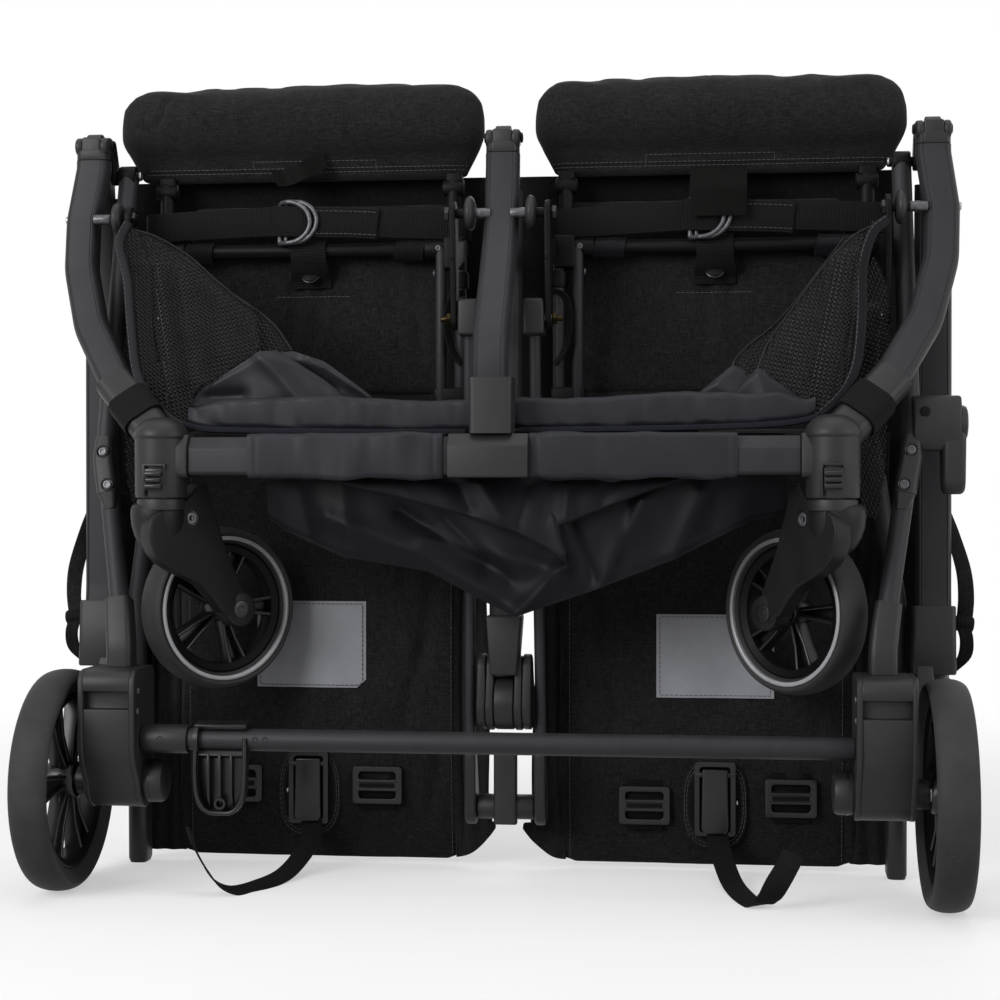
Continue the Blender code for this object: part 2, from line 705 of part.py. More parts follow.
def make_back_frame():
    for word, side in SIDES:
        rod = tube(f"outer_rod_{word}", mirrored(OUTER_ROD, side), 7.5, TUBE_FINISH, 60)
        eye = barrel("eye", *span(side, 289.5, 304), BACK_PIVOT, 11, PLASTIC)
        foot = span_block("foot", side, (313, 331), (106, 134), (0, 30), PLASTIC, 3)
        stub = barrel("stub", *span(side, 320, 333), (118, 57), 5, STEEL, 12)
        rod = joined(rod, eye, foot, stub)
        hold(bore(rod, *span(side, 280, 306), BACK_PIVOT, 4 + RUN), BACK)
        rod = tube(f"inner_rod_{word}", mirrored(INNER_ROD, side), 4.5, TUBE_FINISH, 60)
        eye = barrel("eye", *span(side, 22.5, 34), BACK_PIVOT, 9, PLASTIC)
        end = plate("end", capsule((88, 100), MIDDLE_BAR, 8, 15), *span(side, 24.2, 34), PLASTIC)
        rod = joined(rod, eye, end)
        hold(bore(rod, *span(side, 15, 35.5), BACK_PIVOT, 4 + RUN), BACK)
        low, high = span(side, PANEL_IN, PANEL_OUT)
        panel = cushion(
            f"backrest_{word}", (low, 124, 3), (high, 142, 376), CLOTH, 4, (0.34, 0.68), 8, 9, 0.008
        )
        hold(panel, BACK)
    hold(barrel("middle_bar", -24.2 + GAP, 24.2 - GAP, MIDDLE_BAR, 10.5, PLASTIC), BACK)


make_back_frame()


# The handle frame: lower tubes from the caps to the drums, and the handle folded up behind them.

HANDLE_FRAME = body("handle_frame", (0, *CAP_PIVOT), FRONT)
HANDLE = body("handle", (0, *HANDLE_PIVOT), HANDLE_FRAME)


def tongue_plates(x_low, x_high):
    """The hook from a cap's pin, back over the leg and down into a handle tube."""
    crook = (97, 604)
    hook = plate("hook", capsule(CAP_PIVOT, crook, 9, 7), x_low, x_high, PLASTIC)
    drop = plate("drop", capsule(crook, (103, 558), 7.5, 8), x_low + 0.2, x_high - 0.2, PLASTIC)
    return hook, drop


def make_handle_tubes():
    for word, side in SIDES:
        x = side * SIDE_TUBE_X
        route = [(x, 104, 571), (x, 107, 545), (x, 107, 240), (x, 101, 172)]
        tube_piece = oval_tube(f"handle_tube_{word}", route, 30, 20, TUBE_FINISH)
        tongue = tongue_plates(*span(side, 339.5, 352.5))
        sleeve = oval_tube("sleeve", [(x, 106, 226), (x, 101.5, 171)], 36, 26, PLASTIC)
        neck = plate("neck", capsule((101, 178), HANDLE_PIVOT, 11, 15), *span(side, 335, 349.5), PLASTIC)
        arm = span_block("arm", side, (335, 341), (110, 158), (301, 319), PLASTIC, 2)
        peg = barrel("peg", *span(side, 316, 337), CANOPY_PIVOT, 3.5, STEEL, 12)
        tube_piece = joined(tube_piece, *tongue, sleeve, neck, arm, peg)
        tube_piece = bore(tube_piece, *span(side, 338, 354), CAP_PIVOT, 4 + RUN)
        hold(bore(tube_piece, *span(side, 333, 351), HANDLE_PIVOT, 5 + RUN), HANDLE_FRAME)
    route = [(0, 100, 571), (0, 98, 545), (0, 86, 230), (0, 86, 182)]
    centre = oval_tube("handle_tube_centre", route, 26, 20, TUBE_FINISH)
    tongue = tongue_plates(-6.5, 6.5)
    neck = block("neck", (-22.5, 71, 167), (22.5, 101, 190), PLASTIC, 4)
    discs = [plate("disc", capsule((87, 175), HANDLE_PIVOT, 14, 23.5), *span(side, 8.3, 22.5), PLASTIC)
             for _, side in SIDES]
    arm = block("arm", (-12, 90, 301), (12, 158, 319), PLASTIC, 2)
    peg = barrel("peg", -50, 50, CANOPY_PIVOT, 3.5, STEEL, 12)
    centre = joined(centre, *tongue, neck, *discs, arm, peg)
    centre = bore(centre, -8, 8, CAP_PIVOT, 4 + RUN)
    hold(bore(centre, -25, 25, HANDLE_PIVOT, 5 + RUN), HANDLE_FRAME)


def make_handle():
    y, z = BAR_PLACE
    knee, elbow = (130, 160), (152, 205)
    bar = tube("handlebar", [(-358, *elbow), (-358, y, z), (358, y, z), (358, *elbow)], 9, TUBE_FINISH, 34)
    pieces = []
    for _, side in SIDES:
        arm_route = mirrored([(358, *knee), (358, 150, 200), (358, y - 2, 300)], side)
        pieces.append(tube("arm", arm_route, 8, TUBE_FINISH, 30))
        pieces.append(plate("hub", capsule(HANDLE_PIVOT, knee, 15, 9), *span(side, 350.3, 366), PLASTIC))
        pieces.append(barrel("pin", *span(side, 334.8, 360), HANDLE_PIVOT, 5, STEEL, 12))
    pieces.append(plate("hub", capsule(HANDLE_PIVOT, knee, 17, 9), -7.7, 7.7, PLASTIC))
    pieces.append(tube("arm", [(0, *knee), (0, 150, 200), (0, y, z)], 7.5, TUBE_FINISH, 30))
    pieces.append(barrel("pin", -22.3, 22.3, HANDLE_PIVOT, 5, STEEL, 12))
    pieces.append(block("button_seat", (-34, y - 13, z - 13), (34, y + BAR_SEAT_HALF, z + 13), PLASTIC, 4))
    hold(joined(bar, *pieces), HANDLE)
    press = body("fold_button_body", (0, y, z + 18), HANDLE)
    hold(block("fold_button", (-14, y - 8, z + 16.5), (14, y + 8, z + 21), PLASTIC, 1.2), press)


def make_side_clips():
    """The clips of the canopies' side cloth, on the outside of the sleeves."""
    for word, side in SIDES:
        clip = span_block(f"side_clip_{word}", side, (368 + GAP, 384), (98, 114), (184, 222), PLASTIC, 3)
        hold(clip, HANDLE_FRAME)


make_handle_tubes()
make_handle()
make_side_clips()


# The canopies: a bow a side that turns on the handle frame, with its folded cloth.

BOW_IN, BOW_OUT, BOW_END = 46, 322, 58


def make_canopies():
    y, z = CANOPY_PIVOT
    for word, side in SIDES:
        canopy = body(f"canopy_{word}", (side * 184, y, z), HANDLE_FRAME)
        route = [(BOW_IN, y, z), (BOW_IN, y, BOW_END), (BOW_OUT, y, BOW_END), (BOW_OUT, y, z)]
        bow = tube(f"canopy_bow_{word}", mirrored(route, side), 3.6, PLASTIC, 55, 2, 5)
        eyes = [barrel("eye", *span(side, x - 3.5, x + 3.5), CANOPY_PIVOT, 8, PLASTIC, 16)
                for x in (BOW_IN, BOW_OUT)]
        bow = joined(bow, *eyes)
        bow = bore(bow, *span(side, 30, 52), CANOPY_PIVOT, 3.5 + RUN)
        hold(bore(bow, *span(side, 314, 328), CANOPY_PIVOT, 3.5 + RUN), canopy)

        def pleats(u, v, side=side):
            x = 54 + 260 * u
            wave = 3.0 * math.sin(v * 3 * math.pi) * (0.4 + 0.6 * math.sin(math.pi * u))
            return side * x, y + 9 + wave, 66 + 222 * v

        cloth = sheet(f"canopy_cloth_{word}", 5, 12, pleats, 2.4, CLOTH)
        hold(cloth, canopy)


make_canopies()


# The basket hangs on the front frame: a mesh wing a side, and the satin front with its drape.

def make_basket():
    for word, side in SIDES:

        def wing(u, v, side=side):
            top = Vector((314, 31, 538)).lerp(Vector((262, 24, 490)), u)
            low = Vector((284, 15, 400)).lerp(Vector((256, 6, 392)), u)
            place = top.lerp(low, v)
            bulge = 7 * math.sin(math.pi * v) * math.sin(math.pi * u)
            return side * (place.x - 40 * u * math.sin(math.pi * v) * 0.6), place.y + bulge, place.z

        hold(sheet(f"basket_wing_{word}", 6, 8, wing, 1.6, BASKET_CLOTH), FRONT)

    def drape(u, v):
        a = 2 * u - 1
        x = 230 * a
        top = 398 + 8 * (1 - a * a)
        low = 322 - 94 * max(1 - abs(a - 0.1), 0) ** 1.1
        fold = 4.0 * math.sin(9 * a + 3 * v) * v
        return x, 3 + fold + 4 * v, top + (low - top) * v

    hold(sheet("basket_front", 18, 6, drape, 2, BASKET_CLOTH), FRONT)


make_basket()
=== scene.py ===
"""Visual model of a folded twin stroller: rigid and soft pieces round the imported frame.

Laid out as an add-on and run as a script. Sizes are in millimetres in the part's own drawing
frame (X across, Y from the wheels' side to the far side with 0 at the rear axle, Z up), and
become metres in place().
"""

import math

import bmesh
import bpy
from mathutils import Matrix, Vector, noise
from mathutils.bvhtree import BVHTree


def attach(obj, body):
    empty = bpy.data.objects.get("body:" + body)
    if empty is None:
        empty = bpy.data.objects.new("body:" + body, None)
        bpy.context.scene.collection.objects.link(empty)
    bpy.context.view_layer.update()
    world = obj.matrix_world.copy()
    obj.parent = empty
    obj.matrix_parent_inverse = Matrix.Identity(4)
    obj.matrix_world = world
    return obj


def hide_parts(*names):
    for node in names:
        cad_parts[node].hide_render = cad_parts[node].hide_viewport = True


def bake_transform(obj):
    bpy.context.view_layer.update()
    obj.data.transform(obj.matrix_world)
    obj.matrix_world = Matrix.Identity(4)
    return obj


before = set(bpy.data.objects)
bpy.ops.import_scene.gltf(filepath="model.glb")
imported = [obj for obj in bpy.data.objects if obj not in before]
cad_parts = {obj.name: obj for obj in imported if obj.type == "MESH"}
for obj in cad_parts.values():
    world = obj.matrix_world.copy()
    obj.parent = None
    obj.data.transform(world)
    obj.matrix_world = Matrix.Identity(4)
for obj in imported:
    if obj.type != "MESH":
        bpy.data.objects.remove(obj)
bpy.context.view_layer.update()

bl_info = {
    "name": "Twin Stroller Dress",
    "version": (1, 0, 0),
    "blender": (4, 5, 0),
    "location": "3D View > Sidebar > Stroller",
    "description": "Builds the visual pieces of a folded twin stroller round its packed frame",
    "category": "Object",
}

MM = 0.001
DEPTH_MID = 47.75  # the drawing's y of the part's middle in depth
SIDES = (("left", -1), ("right", 1))

# The camera fitted to the photo: its lens in millimetres, its place in metres and its turns in radians.
CAMERA_LENS, CAMERA_X, CAMERA_Z, CAMERA_DOWN, CAMERA_LEFT = 68.4, 0.1756, 0.3227, 0.0061, 0.1144

# Pivots of the folding linkage, as (y, z).
CAP_PIVOT = (75, 612)
SEAT_PIVOT = (52, 546)
REAR_PIVOT = (92, 588)
BACK_PIVOT = (60, 461)
HANDLE_PIVOT = (91, 145)
CANOPY_PIVOT = (152, 310)
LEG_REST_PIVOT = (123, 578)
# Tubes and axles, as (y, z).
SEAT_TUBE = (120, 526)
REAR_WHEEL_R, FRONT_WHEEL_R = 88.5, 67
REAR_AXLE = (0, REAR_WHEEL_R)
AXLE_TUBE = (-12, 124)


# Directions in the drawing.
ACROSS = (1, 0, 0)
NEAR = (0, -1, 0)
UP = (0, 0, 1)


def place(x, y, z):
    """A point of the drawing in the part's frame, in metres."""
    return Vector((x, y - DEPTH_MID, z)) * MM


def linear(code):
    """An sRGB hex colour as linear RGBA."""
    parts = [int(code[i:i + 2], 16) / 255 for i in (1, 3, 5)]
    parts = [c / 12.92 if c <= 0.04045 else ((c + 0.055) / 1.055) ** 2.4 for c in parts]
    return (*parts, 1.0)


def per(size):
    """The scale of a pattern that repeats each size millimetres, for coordinates in metres."""
    return 1 / (size * MM)


def tint(name, text, code):
    return bpy.props.FloatVectorProperty(
        name=name, description=text, subtype="COLOR", size=4, min=0, max=1, default=linear(code)
    )


def length(name, text, metres):
    return bpy.props.FloatProperty(
        name=name, description=text, default=metres, subtype="DISTANCE", unit="LENGTH", min=0
    )


class StrollerColours(bpy.types.PropertyGroup):
    tube: tint("Tube", "Powder coat of the frame tubes", "#28282b")
    plastic: tint("Plastic", "Moulded nylon of caps, brackets and forks", "#222224")
    tyre: tint("Tyre", "Foam of the tyres", "#363637")
    ring: tint("Ring", "Trim ring of the front wheels", "#a4a5a8")
    cloth: tint("Cloth", "Light thread of the melange seat cloth", "#303032")
    cloth_dark: tint("Cloth, dark thread", "Dark thread of the melange seat cloth", "#101011")
    satin: tint("Basket cloth", "Coated cloth of the basket", "#1f2027")
    webbing: tint("Webbing", "Straps and loops", "#111112")
    patch: tint("Patch", "Plain patches on the backs", "#94959b")
    steel: tint("Steel", "Screws and rivets", "#a8a6a2")


class StrollerSizes(bpy.types.PropertyGroup):
    thread: length("Thread", "Spacing of the threads that show in the seat cloth", 0.0009)
    mesh_hole: length("Mesh hole", "Spacing of the holes in the basket's mesh", 0.0025)
    rib: length("Rib", "Spacing of the ribs across the webbing", 0.0022)
    web_wide: length("Webbing width", "Width of the waist webbing", 0.025)
    ring_radius: length("Ring radius", "Radius of the front wheels' trim ring", 0.0578)
    camera_back: length("Camera distance", "Distance of the camera from the rear axle", 1.4803)


def colours():
    return bpy.context.scene.stroller_colours


def sizes():
    return bpy.context.scene.stroller_sizes


# Materials.

def add(tree, kind, values=None, give=0, stops=(), **settings):
    """Adds a node with its settings and returns one of its outputs.

    values gives its inputs: a socket is linked and a value is set. stops are a ramp's colours.
    """
    made = tree.nodes.new(kind)
    for key, value in settings.items():
        setattr(made, key, value)
    for key, value in (values or {}).items():
        if isinstance(value, bpy.types.NodeSocket):
            tree.links.new(value, made.inputs[key])
        else:
            made.inputs[key].default_value = value
    for element, (position, colour) in zip(made.color_ramp.elements if stops else (), stops):
        element.position, element.color = position, colour
    return made.outputs[give]


def new_material(name, roughness, metallic=0.0, **sockets):
    """A material with its shader's own sockets set, its tree, and the place on the object."""
    material = bpy.data.materials.new(name)
    material.use_nodes = True
    tree = material.node_tree
    shader = tree.nodes["Principled BSDF"]
    sockets.update(Roughness=roughness, Metallic=metallic)
    for key, value in sockets.items():
        shader.inputs[key.replace("_", " ")].default_value = value
    return material, tree, add(tree, "ShaderNodeTexCoord", give="Object")


def grains(tree, where, size, detail=3.0, stretch=(1, 1, 1)):
    """A cloudy pattern with grains of about size millimetres, longer along an axis by its stretch."""
    scale = [per(size) / s for s in stretch]
    mapped = add(tree, "ShaderNodeMapping", {"Vector": where, "Scale": scale})
    return add(tree, "ShaderNodeTexNoise", {
        "Vector": mapped, "Scale": 1.0, "Detail": detail, "Roughness": 0.6,
    })


def shade(colour, factor):
    return (*(min(1.0, c * factor) for c in colour[:3]), 1.0)


def finish_surface(tree, colour, height=None, strength=0.3, depth=0.2, rough=None):
    """Links a surface's colour, its relief of so many millimetres and its roughness."""
    shader = tree.nodes["Principled BSDF"]
    tree.links.new(colour, shader.inputs["Base Color"])
    if height is not None:
        add(tree, "ShaderNodeBump", {"Height": height, "Strength": strength, "Distance": depth * MM})
        tree.links.new(tree.nodes["Bump"].outputs["Normal"], shader.inputs["Normal"])
    if rough is not None:
        spread = {"Value": rough[0], "To Min": rough[1], "To Max": rough[2]}
        tree.links.new(add(tree, "ShaderNodeMapRange", spread), shader.inputs["Roughness"])


def clouded(name, roughness, grain, stops, strength, depth, rough=None, metallic=0.0, **sockets):
    """A material whose colour, relief and roughness all follow one cloudy pattern."""
    material, tree, where = new_material(name, roughness, metallic, **sockets)
    cloud = grains(tree, where, *grain)
    colour = add(tree, "ShaderNodeValToRGB", {"Fac": cloud}, stops=stops)
    finish_surface(tree, colour, cloud, strength, depth, rough and (cloud, *rough))
    return material


def powder_coat():
    """Powder-coated aluminium tube, baked: an even satin skin with a faint orange peel of about
    0.7 mm, and small dull rubs where the folded frame touches."""
    material, tree, where = new_material("powder_coated_aluminium", 0.5, Specular_IOR_Level=0.25)
    rub = grains(tree, where, 16, 6, (1, 1, 2.5))
    base = colours().tube
    colour = add(tree, "ShaderNodeValToRGB", {"Fac": rub},
                 stops=((0.35, shade(base, 0.86)), (0.72, shade(base, 1.18))))
    finish_surface(tree, colour, grains(tree, where, 0.7, 2), 0.25, 0.05, (rub, 0.46, 0.6))
    return material


def moulded_nylon(name="moulded_nylon", painted_light_level=1.0, level=0.3):
    """Glass-filled nylon, injection moulded in a spark-eroded tool: a fine grain of about 0.4 mm,
    drawn at 0.6 mm, that spreads highlights, and a slightly uneven black."""
    material, tree, where = new_material(name, 0.48, Specular_IOR_Level=level)
    cloud = grains(tree, where, 22, 4)
    base = colours().plastic
    # A level below 1 paints shade into the colour, for the shaded copies below.
    colour = add(tree, "ShaderNodeValToRGB", {"Fac": cloud},
                 stops=((0.3, shade(base, 0.8 * painted_light_level)), (0.75, shade(base, 1.15 * painted_light_level))))
    finish_surface(tree, colour, grains(tree, where, 0.6, 2), 0.35, 0.06, (cloud, 0.40, 0.54))
    return material


def nylon_black_and_shaded():
    """The same nylon drawn far darker and duller: partly the carbon black of the wheel rims and the
    pedal, partly painted shade on parts such as the seat tubes.
    """
    return moulded_nylon("moulded_nylon_black_and_shaded", 0.28, 0.1)


def nylon_shaded():
    """The same nylon drawn darker, as the front forks' shells and arms have it: painted shade below
    their lighter tops.
    """
    return moulded_nylon("moulded_nylon_shaded", 0.6, 0.18)


def polished_abs():
    """ABS with a polished skin, as buttons and buckles have: darker and sharper than the nylon."""
    base = colours().plastic
    return clouded("polished_abs", 0.32, (12, 3), ((0.3, shade(base, 0.3)), (0.7, shade(base, 0.5))),
                   0.05, 0.05, (0.26, 0.36), Specular_IOR_Level=0.35)


def foam_rubber():
    """EVA foam tyre, moulded: matt, with a soft dusty bloom on the tread and specks of dust of
    about half a millimetre."""
    material, tree, where = new_material("moulded_eva_foam", 0.65, Specular_IOR_Level=0.15)
    bloom = grains(tree, where, 30, 5)
    base = colours().tyre
    soft = add(tree, "ShaderNodeValToRGB", {"Fac": bloom},
               stops=((0.3, shade(base, 0.75)), (0.8, shade(base, 1.25))))
    specks = grains(tree, where, 1.6, 1)
    dust = add(tree, "ShaderNodeMapRange", {"Value": specks, "From Min": 0.76, "From Max": 0.8})
    mixed = add(tree, "ShaderNodeMix", {0: dust, 6: soft, 7: linear("#5a5a5b")}, 2, data_type="RGBA")
    finish_surface(tree, mixed, grains(tree, where, 1.2, 3), 0.3, 0.08, (bloom, 0.52, 0.7))
    return material


def trim_ring():
    """PVC trim ring pressed into the tyre, calendered: light grey with a low even gloss."""
    base = colours().ring
    return clouded("calendered_pvc", 0.35, (9,), ((0.3, shade(base, 0.9)), (0.7, shade(base, 1.04))),
                   0.1, 0.05, IOR=1.53)


def zinc_steel():
    """Zinc-plated steel, tumbled: bright grey screws with a slightly cloudy face."""
    base = colours().steel
    return clouded("zinc_plated_steel", 0.28, (1.5,),
                   ((0.3, shade(base, 0.7)), (0.7, shade(base, 1.05))), 0.2, 0.03, (0.2, 0.4), 1.0)


def yellow_brass():
    """Brass nut, turned and passivated: a dull yellow metal that darkens in its corners."""
    return clouded("turned_brass", 0.3, (1.2,), ((0.3, linear("#1c1810")), (0.7, linear("#3a311e"))),
                   0.2, 0.03, (0.24, 0.42), 1.0)


def grey_lacquer():
    """Die-cast zinc D-ring under grey lacquer: smooth with a soft shine."""
    return clouded("lacquered_zinc", 0.34, (4,), ((0.3, linear("#3c3c40")), (0.7, linear("#606064"))),
                   0.15, 0.04, metallic=0.4)


def melange_cloth(name="woven_melange_polyester", painted_light_level=1.0):
    """Melange polyester, plain woven from black and grey yarns: short lighter slubs run along both
    threads. The real threads lie 0.4 mm apart and are drawn 0.9 mm apart so that they show."""
    material, tree, where = new_material(name, 0.92, Specular_IOR_Level=0.08, Sheen_Weight=0.08)
    thread = sizes().thread / MM
    warp = grains(tree, where, thread * 0.8, 2, (1, 1, 9))
    weft = grains(tree, where, thread * 0.8, 2, (9, 1, 1))
    cloud = grains(tree, where, 60, 4)
    woven = add(tree, "ShaderNodeMath", {0: warp, 1: weft}, operation="MULTIPLY")
    slubs = add(tree, "ShaderNodeMath", {0: cloud, 1: 0.16, 2: woven}, operation="MULTIPLY_ADD")
    # A level below 1 paints shade into the colour, for the shaded copy below.
    colour = add(tree, "ShaderNodeValToRGB", {"Fac": slubs},
                 stops=((0.2, shade(colours().cloth_dark, painted_light_level)), (0.58, shade(colours().cloth, painted_light_level))))
    relief = add(tree, "ShaderNodeMath", {0: warp, 1: weft})
    finish_surface(tree, colour, relief, 0.5, 0.28)
    return material


def shaded_cloth():
    """The seat cloth of the same weave drawn darker: painted shade for cloth seen in the depths of the
    fold.
    """
    return melange_cloth("woven_melange_shaded", 0.4)


def coated_twill(name="coated_polyester_twill", painted_light_level=1.0, level=0.25):
    """Polyester twill with a PU coating, calendered: navy-black, with a low sheen on its folds and
    a fine diagonal twill, drawn 0.9 mm apart."""
    material, tree, where = new_material(name, 0.52, Specular_IOR_Level=level, Sheen_Weight=0.03)
    twill = add(tree, "ShaderNodeTexWave", {
        "Vector": where, "Scale": per(0.9) * math.pi / 5, "Distortion": 0.6, "Detail": 1.0,
    }, "Fac", wave_type="BANDS", bands_direction="DIAGONAL")
    crease = grains(tree, where, 34, 5)
    base = colours().satin
    # A level below 1 paints shade into the colour, for the shaded copy below.
    colour = add(tree, "ShaderNodeValToRGB", {"Fac": crease},
                 stops=((0.25, shade(base, 0.42 * painted_light_level)), (0.8, shade(base, 0.95 * painted_light_level))))
    skin = grains(tree, where, 0.7, 2)
    relief = add(tree, "ShaderNodeMath", {0: twill, 1: 0.3, 2: skin}, operation="MULTIPLY_ADD")
    finish_surface(tree, colour, relief, 0.28, 0.12, (crease, 0.42, 0.6))
    return material


def polyester_twill_shaded():
    """The same twill drawn darker, with little shine: painted shade for the basket's low cloth."""
    return coated_twill("coated_twill_shaded", 0.5, 0.12)


def mesh_yarn():
    """Monofilament polyester of the warp-knitted basket mesh: thin shiny black yarns."""
    return clouded("knitted_monofilament", 0.4, (8, 4),
                   ((0.3, linear("#0a0a0b")), (0.75, linear("#161618"))), 0.2, 0.1,
                   Specular_IOR_Level=0.2)


def webbing(name="woven_polypropylene_webbing", rib=None, base=None, low=0.55, high=1.5):
    """Polypropylene webbing, shuttle woven: ribs across its width about 2 mm apart, each of short
    crossing yarns, that follow the strap by its own coordinates."""
    material, tree, _ = new_material(name, 0.7, Specular_IOR_Level=0.08, Sheen_Weight=0.02)
    rib = sizes().rib / MM if rib is None else rib
    base = colours().webbing if base is None else base
    along = add(tree, "ShaderNodeTexCoord", give="UV")
    waves = []
    for spacing, way in ((rib, "X"), (rib * 0.8, "Y")):
        waves.append(add(tree, "ShaderNodeTexWave", {
            "Vector": along, "Scale": per(spacing) * math.pi / 10, "Distortion": 0.4, "Detail": 1.0,
        }, "Fac", wave_type="BANDS", bands_direction=way))
    both = add(tree, "ShaderNodeMath", {0: waves[1], 1: 0.45, 2: waves[0]}, operation="MULTIPLY_ADD")
    colour = add(tree, "ShaderNodeValToRGB", {"Fac": both},
                 stops=((0.15, shade(base, low)), (1.0, shade(base, high))))
    finish_surface(tree, colour, both, 0.7, 0.35)
    return material


def grosgrain():
    """Grosgrain tape folded over a raw edge: navy-black with ribs a millimetre apart."""
    return webbing("woven_grosgrain_tape", 1.1, colours().satin, 0.6, 1.35)


def plain_patch():
    """Coated polyester patch, heat cut and left plain: mid grey, nearly flat, slightly creased."""
    material, tree, where = new_material("coated_polyester_patch", 0.6, Specular_IOR_Level=0.2)
    cloud = grains(tree, where, 40, 4)
    base = colours().patch
    colour = add(tree, "ShaderNodeValToRGB", {"Fac": cloud},
                 stops=((0.3, shade(base, 0.88)), (0.7, shade(base, 1.08))))
    finish_surface(tree, colour, grains(tree, where, 0.9, 2), 0.25, 0.1)
    return material


def tag_satin():
    """Narrow satin ribbon of a sewn tag, left plain: near black with a soft shine."""
    return clouded("woven_satin_ribbon", 0.6, (0.7, 2, (6, 1, 1)),
                   ((0.3, linear("#080807")), (0.7, linear("#121110"))), 0.2, 0.1,
                   Specular_IOR_Level=0.05)


def sewing_thread():
    """Bonded polyester thread, twisted: a fine grey line of stitches 3 mm long."""
    return clouded("bonded_polyester_thread", 0.6, (0.8, 2),
                   ((0.3, linear("#262627")), (0.7, linear("#4a4a4c"))), 0.3, 0.1)


# Some keys give darker copies of a material, which paint shade into its colour.
MAKERS = {
    "tube": powder_coat, "plastic": moulded_nylon, "gloss": polished_abs, "tyre": foam_rubber,
    "ring": trim_ring, "steel": zinc_steel, "lacquer": grey_lacquer, "cloth": melange_cloth,
    "satin": coated_twill, "mesh": mesh_yarn, "webbing": webbing, "tape": grosgrain,
    "patch": plain_patch, "tag": tag_satin, "thread": sewing_thread, "cloth_dark": shaded_cloth,
    "brass": yellow_brass, "black": nylon_black_and_shaded, "dark": nylon_shaded,
    "satin_shaded": polyester_twill_shaded,
}
SLOTS = {
    "tube": "coated_tube", "plastic": "moulded_plastic", "gloss": "moulded_plastic",
    "black": "moulded_plastic", "dark": "moulded_plastic", "satin_shaded": "basket_satin",
    "tyre": "foam_tyre", "steel": "steel", "cloth": "heather_cloth", "satin": "basket_satin",
    "mesh": "basket_mesh", "tape": "basket_satin",
}
made_materials = {}


def material_of(key):
    if key not in made_materials:
        made_materials[key] = MAKERS[key]()
    return made_materials[key]


# Shapes. A Piece gathers closed forms in drawing millimetres and becomes one object.

def circle(radius, sides=28):
    turns = (2 * math.pi * i / sides for i in range(sides))
    return [(radius * math.cos(t), radius * math.sin(t)) for t in turns]


def round_box(wide, deep, corner, steps=5):
    """Points round a rectangle with round corners, about its middle."""
    points = []
    for index, (sx, sy) in enumerate(((1, 1), (-1, 1), (-1, -1), (1, -1))):
        for step in range(steps + 1):
            turn = math.radians(90 * index + 90 * step / steps)
            x = sx * (wide / 2 - corner) + corner * math.cos(turn)
            points.append((x, sy * (deep / 2 - corner) + corner * math.sin(turn)))
    return points


def hoop(outer, inner, half):
    """A square profile for a ring, half as wide to each side."""
    return [(outer, -half), (outer, half), (inner, half), (inner, -half)]


def collar(bore, radius, half, lip, edge):
    """A closed profile of a round collar with its rims eased by lip and edge."""
    rim = [(bore, -half), (radius - lip, -half), (radius, edge - half)]
    return rim + [(r, -a) for r, a in reversed(rim)] + rim[:1]


def arc(centre, radius, first, last, step):
    """Points on a circle of (y, z) between two angles in degrees, last left out."""
    turns = (math.radians(a) for a in range(first, last, step))
    return [(centre[0] + radius * math.cos(t), centre[1] + radius * math.sin(t)) for t in turns]


def capsule(start, end, radius, end_radius=None, steps=14):
    """The outline round two circles."""
    end_radius = radius if end_radius is None else end_radius
    start, end = Vector(start), Vector(end)
    heading = math.atan2(end.y - start.y, end.x - start.x)
    points = []
    for centre, size, first in ((end, end_radius, -90), (start, radius, 90)):
        for step in range(steps + 1):
            turn = heading + math.radians(first + 180 * step / steps)
            points.append((centre.x + size * math.cos(turn), centre.y + size * math.sin(turn)))
    return points


def rounded(points, radius, steps=8):
    """The route with its corners turned on smooth bends."""
    points = [Vector(p) for p in points]
    route = [points[0]]
    for before, corner, after in zip(points, points[1:], points[2:]):
        into, out = corner - before, after - corner
        bend = into.angle(out)
        if bend < 0.02:
            route.append(corner)
            continue
        reach = min(radius * math.tan(bend / 2), 0.48 * into.length, 0.48 * out.length)
        first, last = corner - into.normalized() * reach, corner + out.normalized() * reach
        for step in range(steps + 1):
            t = step / steps
            route.append(first * (1 - t) ** 2 + corner * (2 * t * (1 - t)) + last * t**2)
    return [*route, points[-1]]


def smooth_path(points, parts=8):
    """A smooth curve through the points."""
    points = [Vector(p) for p in points]
    ends = [points[0] * 2 - points[1], *points, points[-1] * 2 - points[-2]]
    route = []
    for a, b, c, d in zip(ends, ends[1:], ends[2:], ends[3:]):
        for step in range(parts):
            t = step / parts
            route.append(0.5 * (2 * b + (c - a) * t + (2 * a - 5 * b + 4 * c - d) * t**2
                                + (3 * b - a - 3 * c + d) * t**3))
    return [*route, points[-1]]


def mirrored(points, side):
    return [(side * x, y, z) for x, y, z in points]


def standing(a, b, t):
    """Lets a slab stand facing the front: its outline lies in (x, z) and its thickness in y."""
    return a, t, b


def span(side, first, second):
    """Two distances from the middle as a low and a high x on one side."""
    return sorted((side * first, side * second))


def ramp(value, low, high):
    """0 below low, 1 above high, smooth between."""
    t = min(max((value - low) / (high - low), 0), 1)
    return t * t * (3 - 2 * t)


def wave(x, y, z, size, seed=0):
    """Smooth noise from -1 to 1 with bumps of about size millimetres."""
    return noise.noise(Vector((x / size + seed * 7.3, y / size - seed * 3.1, z / size + seed * 5.7)))


